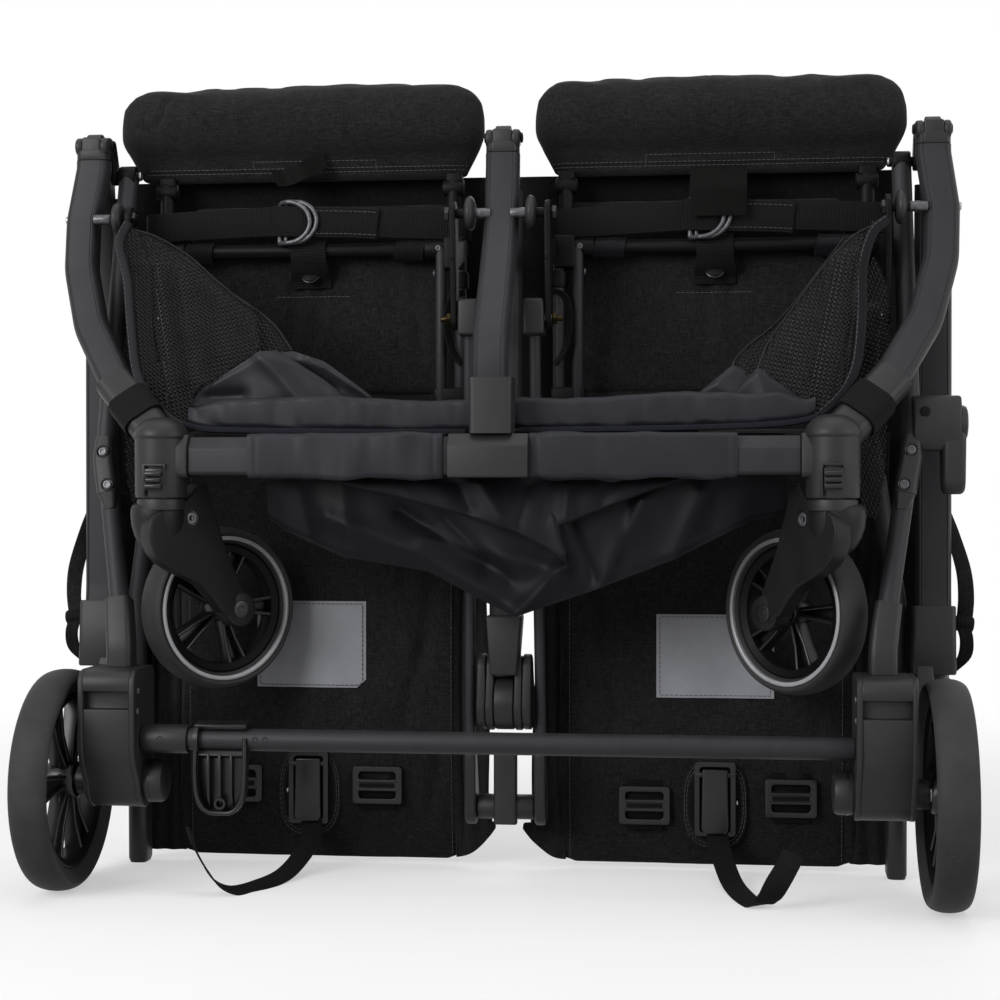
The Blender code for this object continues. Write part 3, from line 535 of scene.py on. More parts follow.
class Piece:
    """One visual piece. Its forms are given in drawing millimetres, each with its own finish."""

    def __init__(self, name):
        self.name = name
        self.bm = bmesh.new()
        self.bm.loops.layers.uv.new("UVMap")
        self.keys = []

    def take(self, bm, key, bevel=0, steps=2):
        """Adds a finished form, its sharp edges rounded where bevel is given. It uses up bm."""
        if bevel:
            bm.normal_update()
            edges = [e for e in bm.edges if len(e.link_faces) == 2 and e.calc_face_angle() > 0.6]
            bmesh.ops.bevel(bm, geom=edges, offset=bevel, segments=steps, profile=0.5,
                            affect="EDGES", clamp_overlap=True)
        if key not in self.keys:
            self.keys.append(key)
        for face in bm.faces:
            face.material_index = self.keys.index(key)
        mesh = bpy.data.meshes.new("form")
        bm.to_mesh(mesh)
        bm.free()
        self.bm.from_mesh(mesh)
        bpy.data.meshes.remove(mesh)
        return self

    def grid(self, rows, key, closed_rows=False, caps=False, bevel=0):
        """Skins rows of points, each row as long as the next. Its UVs are lengths in metres."""
        bm = bmesh.new()
        layer = bm.loops.layers.uv.new("UVMap")
        made = [[bm.verts.new(p) for p in row] for row in rows]
        count = len(rows[0])
        along = [0.0]
        for first, second in zip(rows, rows[1:]):
            along.append(along[-1] + (Vector(second[0]) - Vector(first[0])).length)
        across = [0.0]
        ring = [*rows[0], rows[0][0]] if closed_rows else rows[0]
        for first, second in zip(ring, ring[1:]):
            across.append(across[-1] + (Vector(second) - Vector(first)).length)
        for i in range(len(rows) - 1):
            for j in range(count if closed_rows else count - 1):
                k = (j + 1) % count
                face = bm.faces.new((made[i][j], made[i][k], made[i + 1][k], made[i + 1][j]))
                corners = ((i, j), (i, j + 1), (i + 1, j + 1), (i + 1, j))
                for loop, (a, b) in zip(face.loops, corners):
                    loop[layer].uv = (along[a] * MM, across[b] * MM)
        if caps:
            bm.faces.new(list(reversed(made[0])))
            bm.faces.new(made[-1])
        bmesh.ops.remove_doubles(bm, verts=bm.verts, dist=0.0004)
        bmesh.ops.recalc_face_normals(bm, faces=bm.faces)
        return self.take(bm, key, bevel)

    def sweep(self, route, section, key, across=None, scale=None):
        """Carries a closed section along a route. across keeps the section's width that way."""
        route = [Vector(p) for p in route]
        rows, side = [], None
        for index, point in enumerate(route):
            along = (route[min(index + 1, len(route) - 1)] - route[max(index - 1, 0)]).normalized()
            way = across(index / (len(route) - 1)) if callable(across) else across
            if way is not None:
                side = Vector(way)
            elif side is None:
                side = Vector(ACROSS) if abs(along.x) < 0.9 else Vector((0, 1, 0))
            side = (side - along * along.dot(side)).normalized()
            front = along.cross(side)
            size = scale(index / (len(route) - 1)) if scale else (1, 1)
            rows.append([point + side * x * size[0] + front * y * size[1] for x, y in section])
        return self.grid(rows, key, closed_rows=True, caps=True)

    def tube(self, route, radius, key, bend=40, sides=28):
        return self.sweep(rounded(route, bend), circle(radius, sides), key)

    def lathe(self, profile, centre, axis, key, sides=48, hexagon=()):
        """Turns (radius, along) points about an axis. hexagon lists the points that turn six-sided."""
        turn = Vector(axis).to_track_quat("Z", "Y").to_matrix()
        rows = []
        for index, (radius, along) in enumerate(profile):
            row = []
            for step in range(sides):
                angle = 2 * math.pi * step / sides
                reach = radius
                if index in hexagon:
                    reach *= 0.87 / math.cos((angle % (math.pi / 3)) - math.pi / 6)
                row.append(Vector(centre) + turn @ Vector((reach * math.cos(angle),
                                                           reach * math.sin(angle), along)))
            rows.append(row)
        return self.grid(rows, key, closed_rows=True)

    def ring(self, profile, centre, axis, key, sides=72):
        """Turns a closed loop of (radius, along) points into a ring."""
        return self.lathe([*profile, profile[0]], centre, axis, key, sides)

    def bar(self, start, end, radius, key, edge=0.6, sides=32):
        """A round bar with eased ends."""
        start, end = Vector(start), Vector(end)
        deep = (end - start).length
        edge = min(edge, radius * 0.4, deep * 0.4)
        profile = [(0, 0), (radius - edge, 0), (radius - edge * 0.3, edge * 0.3), (radius, edge),
                   (radius, deep - edge), (radius - edge * 0.3, deep - edge * 0.3),
                   (radius - edge, deep), (0, deep)]
        return self.lathe(profile, start, end - start, key, sides)

    def pin(self, first, last, pivot, radius, key="steel", edge=0.6, sides=32):
        """A bar across the part, between two values of x at a pivot's (y, z)."""
        return self.bar((first, *pivot), (last, *pivot), radius, key, edge, sides)

    def slab(self, outline, low, high, key, bevel=1.2, frame_of=None, steps=3):
        """A flat outline as thick as from low to high. It lies in (y, z), or as frame_of says."""
        frame_of = frame_of or (lambda a, b, t: (t, a, b))
        bm = bmesh.new()
        first = [bm.verts.new(frame_of(a, b, low)) for a, b in outline]
        last = [bm.verts.new(frame_of(a, b, high)) for a, b in outline]
        bm.faces.new(first)
        bm.faces.new(list(reversed(last)))
        for i in range(len(outline)):
            j = (i + 1) % len(outline)
            bm.faces.new((first[i], last[i], last[j], first[j]))
        bmesh.ops.remove_doubles(bm, verts=bm.verts, dist=0.001)
        bmesh.ops.recalc_face_normals(bm, faces=bm.faces)
        return self.take(bm, key, bevel, steps)

    def block(self, low, high, key, bevel=1.5, steps=3):
        outline = [(low[1], low[2]), (high[1], low[2]), (high[1], high[2]), (low[1], high[2])]
        return self.slab(outline, low[0], high[0], key, bevel, steps=steps)

    def screw(self, centre, axis, radius=4, tall=2, key="steel"):
        """A pan head with a hexagon socket, standing on centre along the axis."""
        well = radius * 0.5
        profile = [(radius, 0), (radius, tall * 0.45), (radius * 0.92, tall * 0.8),
                   (radius * 0.74, tall), (well * 1.15, tall), (well, tall * 0.9), (well, tall * 0.2),
                   (0, tall * 0.2)]
        return self.lathe(profile, centre, axis, key, 24, (5, 6))

    def dome(self, centre, axis, radius, tall, key="plastic", foot=0.0):
        """A rounded button or cap on a short foot."""
        profile = [(radius, 0), (radius, foot)]
        for step in range(1, 9):
            turn = math.radians(90 * step / 8)
            profile.append((radius * math.cos(turn), foot + (tall - foot) * math.sin(turn)))
        return self.lathe(profile, centre, axis, key, 32)

    def stitches(self, route, gap=1.1, dash=3.0, radius=0.32, off=(0, -0.25, 0)):
        """A row of short thread stitches along a route."""
        route = [Vector(p) for p in route]
        left, run, drawing = dash, [route[0]], True
        for a, b in zip(route, route[1:]):
            step, reach = b - a, (b - a).length
            done = 0.0
            while reach - done > left:
                done += left
                run.append(a + step * (done / reach))
                if drawing and len(run) > 1:
                    shift = Vector(off)
                    self.sweep([p + shift for p in run], circle(radius, 5), "thread")
                drawing = not drawing
                left = dash if drawing else gap
                run = [run[-1]]
            left -= reach - done
            run.append(b)
        return self

    def done(self, body=None, replaces=(), slot=None, sharp=38):
        """The finished object, in the part's frame."""
        mesh = bpy.data.meshes.new(self.name)
        for vert in self.bm.verts:
            vert.co = place(*vert.co)
        self.bm.to_mesh(mesh)
        self.bm.free()
        thing = bpy.data.objects.new(self.name, mesh)
        bpy.context.scene.collection.objects.link(thing)
        for key in self.keys:
            mesh.materials.append(material_of(key))
        mesh.shade_smooth()
        mesh.set_sharp_from_angle(angle=math.radians(sharp))
        if body:
            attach(thing, body)
        if replaces:
            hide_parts(*replaces)
        slot = slot or SLOTS.get(self.keys[0])
        return thing


def thick(rows, deep):
    """A sheet's rows as a closed band: the sheet and its back, deep millimetres behind it."""
    count, wide = len(rows), len(rows[0])
    rows = [[Vector(p) for p in row] for row in rows]
    backs = []
    for i, row in enumerate(rows):
        line = []
        for j, point in enumerate(row):
            along = rows[min(i + 1, count - 1)][j] - rows[max(i - 1, 0)][j]
            across = row[min(j + 1, wide - 1)] - row[max(j - 1, 0)]
            normal = along.cross(across)
            normal = normal.normalized() if normal.length > 1e-6 else Vector((0, 1, 0))
            line.append(point - normal * deep)
        backs.append(line)
    return [row + list(reversed(back)) for row, back in zip(rows, backs)]


def cloth(piece, columns, rows, surface, key, deep=1.0):
    """A sheet of cloth with thickness: surface(u, v) gives its points for u and v from 0 to 1."""
    lines = [[surface(i / columns, j / rows) for j in range(rows + 1)] for i in range(columns + 1)]
    return piece.grid(thick(lines, deep), key, closed_rows=True, caps=True)


class STROLLER_OT_stage(bpy.types.Operator):
    """Sets the floor, the white surroundings, the soft lights and the camera"""

    bl_idname = "stroller.stage"
    bl_label = "Stage and camera"

    def seen(self, tree):
        """1 where the eye looks straight, through glass or by a reflection."""
        rays = add(tree, "ShaderNodeLightPath", give="Is Camera Ray")
        paths = tree.nodes["Light Path"].outputs
        rays = add(tree, "ShaderNodeMath", {0: rays, 1: paths["Is Transmission Ray"]},
                   operation="MAXIMUM")
        return add(tree, "ShaderNodeMath", {0: rays, 1: paths["Is Glossy Ray"]}, operation="MAXIMUM")

    def execute(self, context):
        scene = context.scene
        scene.view_settings.view_transform = "Standard"
        floor = bpy.data.objects.new("floor", bpy.data.meshes.new("floor"))
        bm = bmesh.new()
        bmesh.ops.create_grid(bm, x_segments=1, y_segments=1, size=9)
        bm.to_mesh(floor.data)
        bm.free()
        scene.collection.objects.link(floor)
        # Far from the object the floor turns into the same plain white as the room.
        material, tree, where = new_material("matt_painted_floor", 0.9, Specular_IOR_Level=0.1)
        cloud = grains(tree, where, 300, 3)
        colour = add(tree, "ShaderNodeValToRGB", {"Fac": cloud},
                     stops=((0.3, linear("#f9f9f9")), (0.7, linear("#fcfcfc"))))
        seen = self.seen(tree)
        finish_surface(tree, add(tree, "ShaderNodeMix", {0: seen, 6: linear("#7c7c7c"), 7: colour}, 2,
                                 data_type="RGBA"))
        reach = add(tree, "ShaderNodeVectorMath", {0: where}, "Value", operation="LENGTH")
        far = add(tree, "ShaderNodeMapRange", {
            "Value": reach, "From Min": 0.6, "From Max": 1.5, "To Min": 0.45,
        }, interpolation_type="SMOOTHSTEP")
        far = add(tree, "ShaderNodeMath", {0: far, 1: seen}, operation="MULTIPLY")
        white = add(tree, "ShaderNodeEmission")
        mixed = add(tree, "ShaderNodeMixShader", {
            "Fac": far, 1: tree.nodes["Principled BSDF"].outputs["BSDF"], 2: white,
        })
        tree.links.new(mixed, tree.nodes["Material Output"].inputs["Surface"])
        floor.data.materials.append(material)

        world = bpy.data.worlds.new("white_room")
        scene.world = world
        world.use_nodes = True
        tree = world.node_tree
        shown = add(tree, "ShaderNodeMapRange", {"Value": self.seen(tree), "To Min": 0.42,
                                                 "To Max": 1.0})
        background = tree.nodes["Background"]
        background.inputs["Color"].default_value = (1, 1, 1, 1)
        tree.links.new(shown, background.inputs["Strength"])

        lamps = (
            ("key", (-1.5, -1.95, 1.2), (0, 0, 0.35), 1.3, 46),
            ("top", (0.1, -0.4, 2.2), (0, 0, 0.35), 1.8, 11),
            ("right", (1.9, -0.9, 0.9), (0, 0, 0.35), 1.2, 11),
            ("back", (0.3, 2.2, 1.6), (0, 0, 0.35), 1.6, 12),
        )
        for name, spot, aim, size, watts in lamps:
            light = bpy.data.lights.new(f"softbox_{name}", "AREA")
            light.shape, light.size, light.energy = "SQUARE", size, watts
            lamp = bpy.data.objects.new(f"softbox_{name}", light)
            scene.collection.objects.link(lamp)
            lamp.location = spot
            lamp.rotation_euler = (Vector(aim) - Vector(spot)).to_track_quat("-Z", "Y").to_euler()

        camera = bpy.data.objects.new("camera", bpy.data.cameras.new("camera"))
        scene.collection.objects.link(camera)
        scene.camera = camera
        camera.data.lens = CAMERA_LENS
        camera.location = (CAMERA_X, -sizes().camera_back - DEPTH_MID * MM, CAMERA_Z)
        camera.rotation_euler = (math.pi / 2 - CAMERA_DOWN, 0, CAMERA_LEFT)
        return {"FINISHED"}


# The rigid pieces, one operator for each group.

LEG_X, LEG_SEAM = 346, 597
LEG_END = Vector((286, 1.5, 382.5))
LEG_ROUTE = [(346, 70, 597), (346, 70, 590), (352, 62, 545), (350, 51, 503), (336, 34, 454),
             (306, 13, 404), tuple(LEG_END)]
LEG_ALONG = (LEG_END - Vector(LEG_ROUTE[-2])).normalized()


def ridged_oval(wide, deep):
    """The leg's section: flat faces, a raised bead along each edge, and round sides."""
    quarter = []
    x, y = wide / 2, deep / 2
    for across, drop in ((x - 6.4, 0.0), (x - 5.5, 0.1), (x - 5.0, 0.62), (x - 4.3, 0.62),
                         (x - 3.8, 0.16), (x - 2.9, 0.7), (x - 1.8, 2.2), (x - 0.8, 4.4),
                         (x - 0.2, 6.6)):
        quarter.append((across, y - drop))
    quarter.append((x, 0))
    half = quarter + [(a, -b) for a, b in reversed(quarter[:-1])]
    return half + [(-a, -b) for a, b in half]


def make_cap(piece, centre, half, ear_side=0):
    """The moulded fork on a leg: a plain web, flush with the leg, between two small knuckles."""
    y, z = CAP_PIVOT
    low, high = centre - half, centre + half
    foot = [(centre, 70, LEG_SEAM + t) for t in (0.5, 0.9, 8, 9)]
    piece.sweep(foot, ridged_oval(2 * half - 0.6, 19.6), "plastic", ACROSS,
                lambda t: (1 - 0.03 * (abs(2 * t - 1) > 0.9),) * 2)
    piece.slab([(low + 6, LEG_SEAM + 4), (high - 6, LEG_SEAM + 4), (high - 6, z + 3.4),
                (high - 8, z + 4.6), (low + 8, z + 4.6), (low + 6, z + 3.4)], 60.6, 66, "plastic", 1.2,
               standing)
    for x in (low + 0.3, high - 6.3):
        piece.slab(capsule((y - 8, z - 3), (y, z - 1.5), 7.6), x, x + 6, "plastic", 2.2, steps=4)
    if ear_side:
        ends = span(ear_side, 332.2, 337.8)
        piece.slab(capsule((y + 8, z - 1), REAR_PIVOT, 6, 7.5), *ends, "black", 1.2)
        piece.pin(ear_side * 312, ear_side * 336, REAR_PIVOT, 4, "black")
        piece.screw((ear_side * 313.4, *REAR_PIVOT), (-ear_side, 0, 0), 4, 2)


class STROLLER_OT_front_legs(bpy.types.Operator):
    """Builds the three front legs with their hinge caps, fold pins and seat pivots"""

    bl_idname = "stroller.front_legs"
    bl_label = "Front legs"

    def pivot(self, leg, side, neck, pin, washer, nut):
        """A seat pivot: a grey neck at the leg and a black pin with a domed washer and a nut."""
        leg.pin(side * neck[0], side * neck[1], SEAT_PIVOT, 4.2, "lacquer")
        leg.pin(side * pin[0], side * pin[1], SEAT_PIVOT, 4.0, "black")
        disc = [(0, -4.6), (8, -4.4), (12.4, -3), (14, -0.8), (14, 0.8), (12.4, 3), (8, 4.4), (0, 4.6)]
        leg.lathe(disc, (side * washer, *SEAT_PIVOT), ACROSS, "plastic")
        leg.lathe([(5.6, 0), (5.8, 0.6), (5.8, 3.4), (4.9, 4), (0, 4)], (side * nut, *SEAT_PIVOT),
                  (side, 0, 0), "gloss", 24, (0, 1, 2, 3))

    def execute(self, context):
        y, z = CAP_PIVOT
        for word, side in SIDES:
            leg = Piece(f"leg_tube_{word}")
            leg.sweep(rounded(mirrored(LEG_ROUTE, side), 60, 10), ridged_oval(28, 20), "tube", ACROSS)
            self.pivot(leg, side, (326, 340), (303, 327), 319, 304)
            leg.screw((side * 365.4, 62, 547), (side, 0, 0), 3.6, 1.8)
            leg.done("front_frame", (f"front_leg_{word}",))
            cap = Piece(f"cap_{word}")
            make_cap(cap, side * LEG_X, 14, side)
            cap.done("front_frame", (f"hinge_cap_{word}",))
        leg = Piece("leg_tube_centre")
        route = [(0, 70, LEG_SEAM), (0, 70, 588), (0, 62, 540), (0, -14, 440), (0, -19, 424),
                 (0, -19, 404)]
        leg.sweep(rounded(route, 90, 12), ridged_oval(28, 20), "tube", ACROSS)
        for _, side in SIDES:
            self.pivot(leg, side, (8, 22), (21, 44), 25, 42)
        leg.done("front_frame", ("front_leg_centre",))
        cap = Piece("cap_centre")
        make_cap(cap, 0, 14)
        cap.done("front_frame", ("hinge_cap_centre",))
        for word, centre in (("left", -LEG_X), ("centre", 0), ("right", LEG_X)):
            pin = Piece(f"hinge_pin_{word}")
            pin.bar((centre - 14.6, y, z), (centre + 14.6, y, z), 3.8, "black")
            for way in (-1, 1):
                pin.screw((centre + way * 14.3, y, z - 1), (way, 0, 0), 4.2, 1.6, "black")
            pin.done("front_frame", (f"fold_pin_{word}",))
        return {"FINISHED"}


CASTER_X, CASTER_Y = 262, -18.5
BAR_OUTLINE = [(-29, 335.5), (-29, 353.5), (-22.5, 363), (-11.5, 363), (-9, 360.5), (-9, 335.5),
               (-11.5, 333), (-26.5, 333)]


class STROLLER_OT_crossbar(bpy.types.Operator):
    """Builds the front crossbar with its T connector and the two caster housings"""

    bl_idname = "stroller.crossbar"
    bl_label = "Crossbar and caster housings"

    def execute(self, context):
        tee = Piece("tee")
        outline = [(-39, 332), (-39, 355.5), (-31.5, 365), (-6, 365), (-5, 364), (-5, 332), (-6, 331),
                   (-38, 331)]
        tee.slab(outline, -31, 31, "plastic", 1.1)
        neck = [(2, -22, 408), (2, -22, 400), (2, -22, 365)]
        tee.sweep(neck, round_box(34, 30, 4), "plastic", ACROSS, lambda t: (1 - 0.03 * t, 1 + 0.04 * t))
        tee.done("front_frame", ("t_connector",))
        for word, side in SIDES:
            bar = Piece(f"crossbar_{word}")
            bar.slab(BAR_OUTLINE, *span(side, 31.2, 237.8), "tube", 0.9)
            bar.done("front_frame", (f"front_crossbar_{word}",))
            self.housing(word, side)
        return {"FINISHED"}

    def housing(self, word, side):
        x, y = side * CASTER_X, CASTER_Y
        piece = Piece(f"housing_{word}")
        profile = [(0, 379), (6, 378.8), (11, 377.6), (15.5, 375), (19, 371.2), (21.3, 366.8),
                   (21.9, 363.6), (21.5, 362.4), (20.7, 361.6), (20.6, 350), (20.4, 318), (19.9, 315.6),
                   (19, 315), (0, 315)]
        piece.lathe(profile, (x, y, 0), UP, "plastic", 56)
        arm = [(-32, 334), (-32, 354.5), (-25, 365), (-8, 365), (-6, 363), (-6, 333), (-8, 331),
               (-29, 331)]
        piece.slab(arm, *span(side, 238, 258), "plastic", 1.2)
        route = [LEG_END + LEG_ALONG * t for t in (0.3, 12, 30)]
        piece.sweep(mirrored(route, side), round_box(31, 23, 9), "plastic", ACROSS)
        frame_top = [(-9.6, 10), (-8.6, 11), (9, 11), (9, 6), (7.2, 6), (7.2, 9), (-7.4, 9),
                     (-7.4, -14), (-9.6, -14)]
        piece.slab(frame_top, -41.6, -34, "plastic", 0.5, lambda a, b, t: (x - side + a, t, 331 + b), 2)
        piece.done("front_frame", (f"caster_housing_{word}",))
        lock = Piece(f"lock_button_{word}")
        lock.block((x - side - 6.8, -43.4, 321.6), (x - side + 6.8, -41.9, 338), "gloss", 0.5)
        for step, reach in enumerate((6.8, 6, 6.8)):
            height = 324.4 + 4.8 * step
            lock.bar((x - side - reach, -43.6, height), (x - side + reach, -43.6, height), 2.3, "gloss")
        lock.done(f"swivel_lock_{word}", (f"swivel_lock_{word}",))


TRAIL, WHEEL_BEHIND, FRONT_AXLE_Z = 74, 38.5, 224


def caster_ways(side):
    turn = math.radians(45)
    trail = Vector((-side * math.sin(turn), math.cos(turn), 0))
    face = Vector((-side * math.cos(turn), -math.sin(turn), 0))
    return trail, face


def wheel(name, centre, axis, radius, wide, hub, spokes, body, nodes, ring_at=0):
    """A soft tyre with a round tread, and a dished rim with paired ribs as spokes."""
    half, seat = wide / 2, radius * 0.8
    tyre = Piece(f"{name}_tyre")
    profile = [(seat, -half * 0.62), (seat + 1, -half * 0.72)]
    for step in range(25):
        turn = math.radians(-78 + 156 * step / 24)
        deep = radius - (seat + radius) / 2
        profile.append(((seat + radius) / 2 + deep * math.cos(turn) ** 0.75,
                        half * math.sin(turn) / 0.978))
    profile += [(seat + 1, half * 0.72), (seat, half * 0.62)]
    tyre.ring(profile, centre, axis, "tyre", 96)
    if ring_at:
        face = half * 0.985
        band = [(ring_at - 1.7, face - 3), (ring_at + 1.7, face - 3), (ring_at + 1.6, face - 0.5),
                (ring_at + 0.8, face + 0.1), (ring_at - 0.8, face + 0.1), (ring_at - 1.6, face - 0.5)]
        for way in (1, -1):
            tyre.ring([(r, way * a) for r, a in band], centre, axis, "ring", 96)
    tyre.done(body, nodes[:1])
    rim = Piece(f"{name}_rim")
    outer, inner = seat - 0.3, seat - 7
    well = [(outer, half * 0.6), (outer - 1.6, half * 0.66), (inner, half * 0.5),
            (inner - 1.2, half * 0.3), (inner - 1.2, -half * 0.3), (inner, -half * 0.5),
            (outer - 1.6, -half * 0.66), (outer, -half * 0.6)]
    rim.ring(well, centre, axis, "black", 96)
    drum = [(hub * 0.5, half * 0.72), (hub - 1.2, half * 0.74), (hub, half * 0.62), (hub + 0.8, 0),
            (hub, -half * 0.62), (hub - 1.2, -half * 0.74), (hub * 0.5, -half * 0.72)]
    rim.ring(drum, centre, axis, "gloss", 48)
    turn = Vector(axis).to_track_quat("Z", "Y").to_matrix()
    for index in range(spokes):
        heading = 2 * math.pi * index / spokes
        for way in (-1, 1):
            begin = Vector(((hub - 1) * math.cos(heading + way * 0.24),
                            (hub - 1) * math.sin(heading + way * 0.24), 0))
            reach = inner + 0.6
            end = Vector((reach * math.cos(heading + way * 0.15),
                          reach * math.sin(heading + way * 0.15), 0))
            route = [Vector(centre) + turn @ p for p in (begin, (begin + end) / 2, end)]
            rim.sweep(route, round_box(half * 0.95, 3.4, 1.4, 3), "gloss", axis,
                      lambda t: (1 - 0.25 * math.sin(math.pi * t), 1))
        first, last = hub - 1, inner + 0.6
        mid = [Vector(centre) + turn @ Vector((r * math.cos(heading), r * math.sin(heading),
                                               -half * 0.12)) for r in (first, last)]
        rim.sweep(mid, round_box(2.0, radius * 0.14, 0.8, 2), "gloss", axis)
    rim.done(body, nodes[1:])


class STROLLER_OT_casters(bpy.types.Operator):
    """Builds the two front wheels with their swivelling forks"""

    bl_idname = "stroller.casters"
    bl_label = "Front wheels and forks"

    def execute(self, context):
        ring_at = sizes().ring_radius / MM
        for word, side in SIDES:
            trail, face = caster_ways(side)
            top = Vector((side * CASTER_X, CASTER_Y, 0))
            hub = top + trail * TRAIL + Vector((0, 0, FRONT_AXLE_Z))
            piece = Piece(f"fork_{word}")
            shell = [(0, 271), (8, 272.4), (14, 277.5), (18.4, 285), (20.8, 293), (21.6, 301),
                     (21.4, 306.4), (20.3, 309.2), (18.6, 310.4), (0, 310.6)]
            # Shell, fin and hub take the darker nylon and the top cap the plain one: painted shade
            # below a lighter top.
            piece.lathe(shell, top - face * 5, UP, "dark", 56)
            piece.lathe([(0, 306), (18.6, 306), (19, 312.4), (18.4, 314.2), (0, 314.2)], top, UP,
                        "plastic", 56)
            fin = [(-19, 282), (-19.5, 294), (-15, 302), (-6, 307.4), (5, 310.6), (17, 313.4),
                   (24, 319), (29, 325.4), (34, 327.6), (38.5, 325.6), (42, 318),
                   (47, 303), (58, 276), (74, 247), (84, 229)]
            for step in range(1, 13):
                turn = math.radians(30 - 190 * step / 12)
                fin.append((TRAIL + 12.6 * math.cos(turn), FRONT_AXLE_Z + 12.6 * math.sin(turn)))
            fin += [(54, 224), (44, 235), (33, 245), (20, 251), (6, 257), (-7, 264), (-15, 272)]

            def on_face(a, b, t, top=top, trail=trail, face=face):
                return top + trail * a + face * (t + 0.225 * (TRAIL - a)) + Vector((0, 0, b))

            piece.slab(fin, -20.6, -2.6, "dark", 3.2, on_face, 5)
            piece.lathe([(0, -20), (13.4, -20), (14.4, -18.6), (14.4, -5), (13.6, -2.4), (11, -1.4),
                         (0, -1.4)], hub, face, "dark", 40)
            piece.lathe([(0, -1.2), (0, 0.2), (2.2, 0.2), (2.8, -0.3), (5.8, -0.1), (7.2, -0.5),
                         (7.6, -1.4)], hub, face, "gloss", 32)
            screw = on_face(22, 299, -2.9)
            piece.lathe([(7.6, 0), (7.4, 0.5), (6.6, 0.7), (6.2, 0), (0, 0)], screw, face, "gloss", 32)
            piece.screw(screw, face, 5.2, 1.2, "lacquer")
            centre = hub - face * WHEEL_BEHIND
            piece.bar(hub - face * 16, centre - face * 15.6, 4.8, "steel")
            piece.bar(hub - face * 19, hub - face * 25.5, 9.5, "plastic")
            piece.bar(centre - face * 15.2, centre - face * 17, 7.5, "gloss")
            piece.bar(top + Vector((0, 0, 314)), top + Vector((0, 0, 316)), 8, "steel")
            piece.done(f"caster_{word}", (f"caster_fork_{word}",))
            wheel(f"front_wheel_piece_{word}", centre, face, FRONT_WHEEL_R, 30, 11, 5,
                  f"front_wheel_{word}", (f"front_tyre_{word}", f"front_rim_{word}"), ring_at)
        return {"FINISHED"}


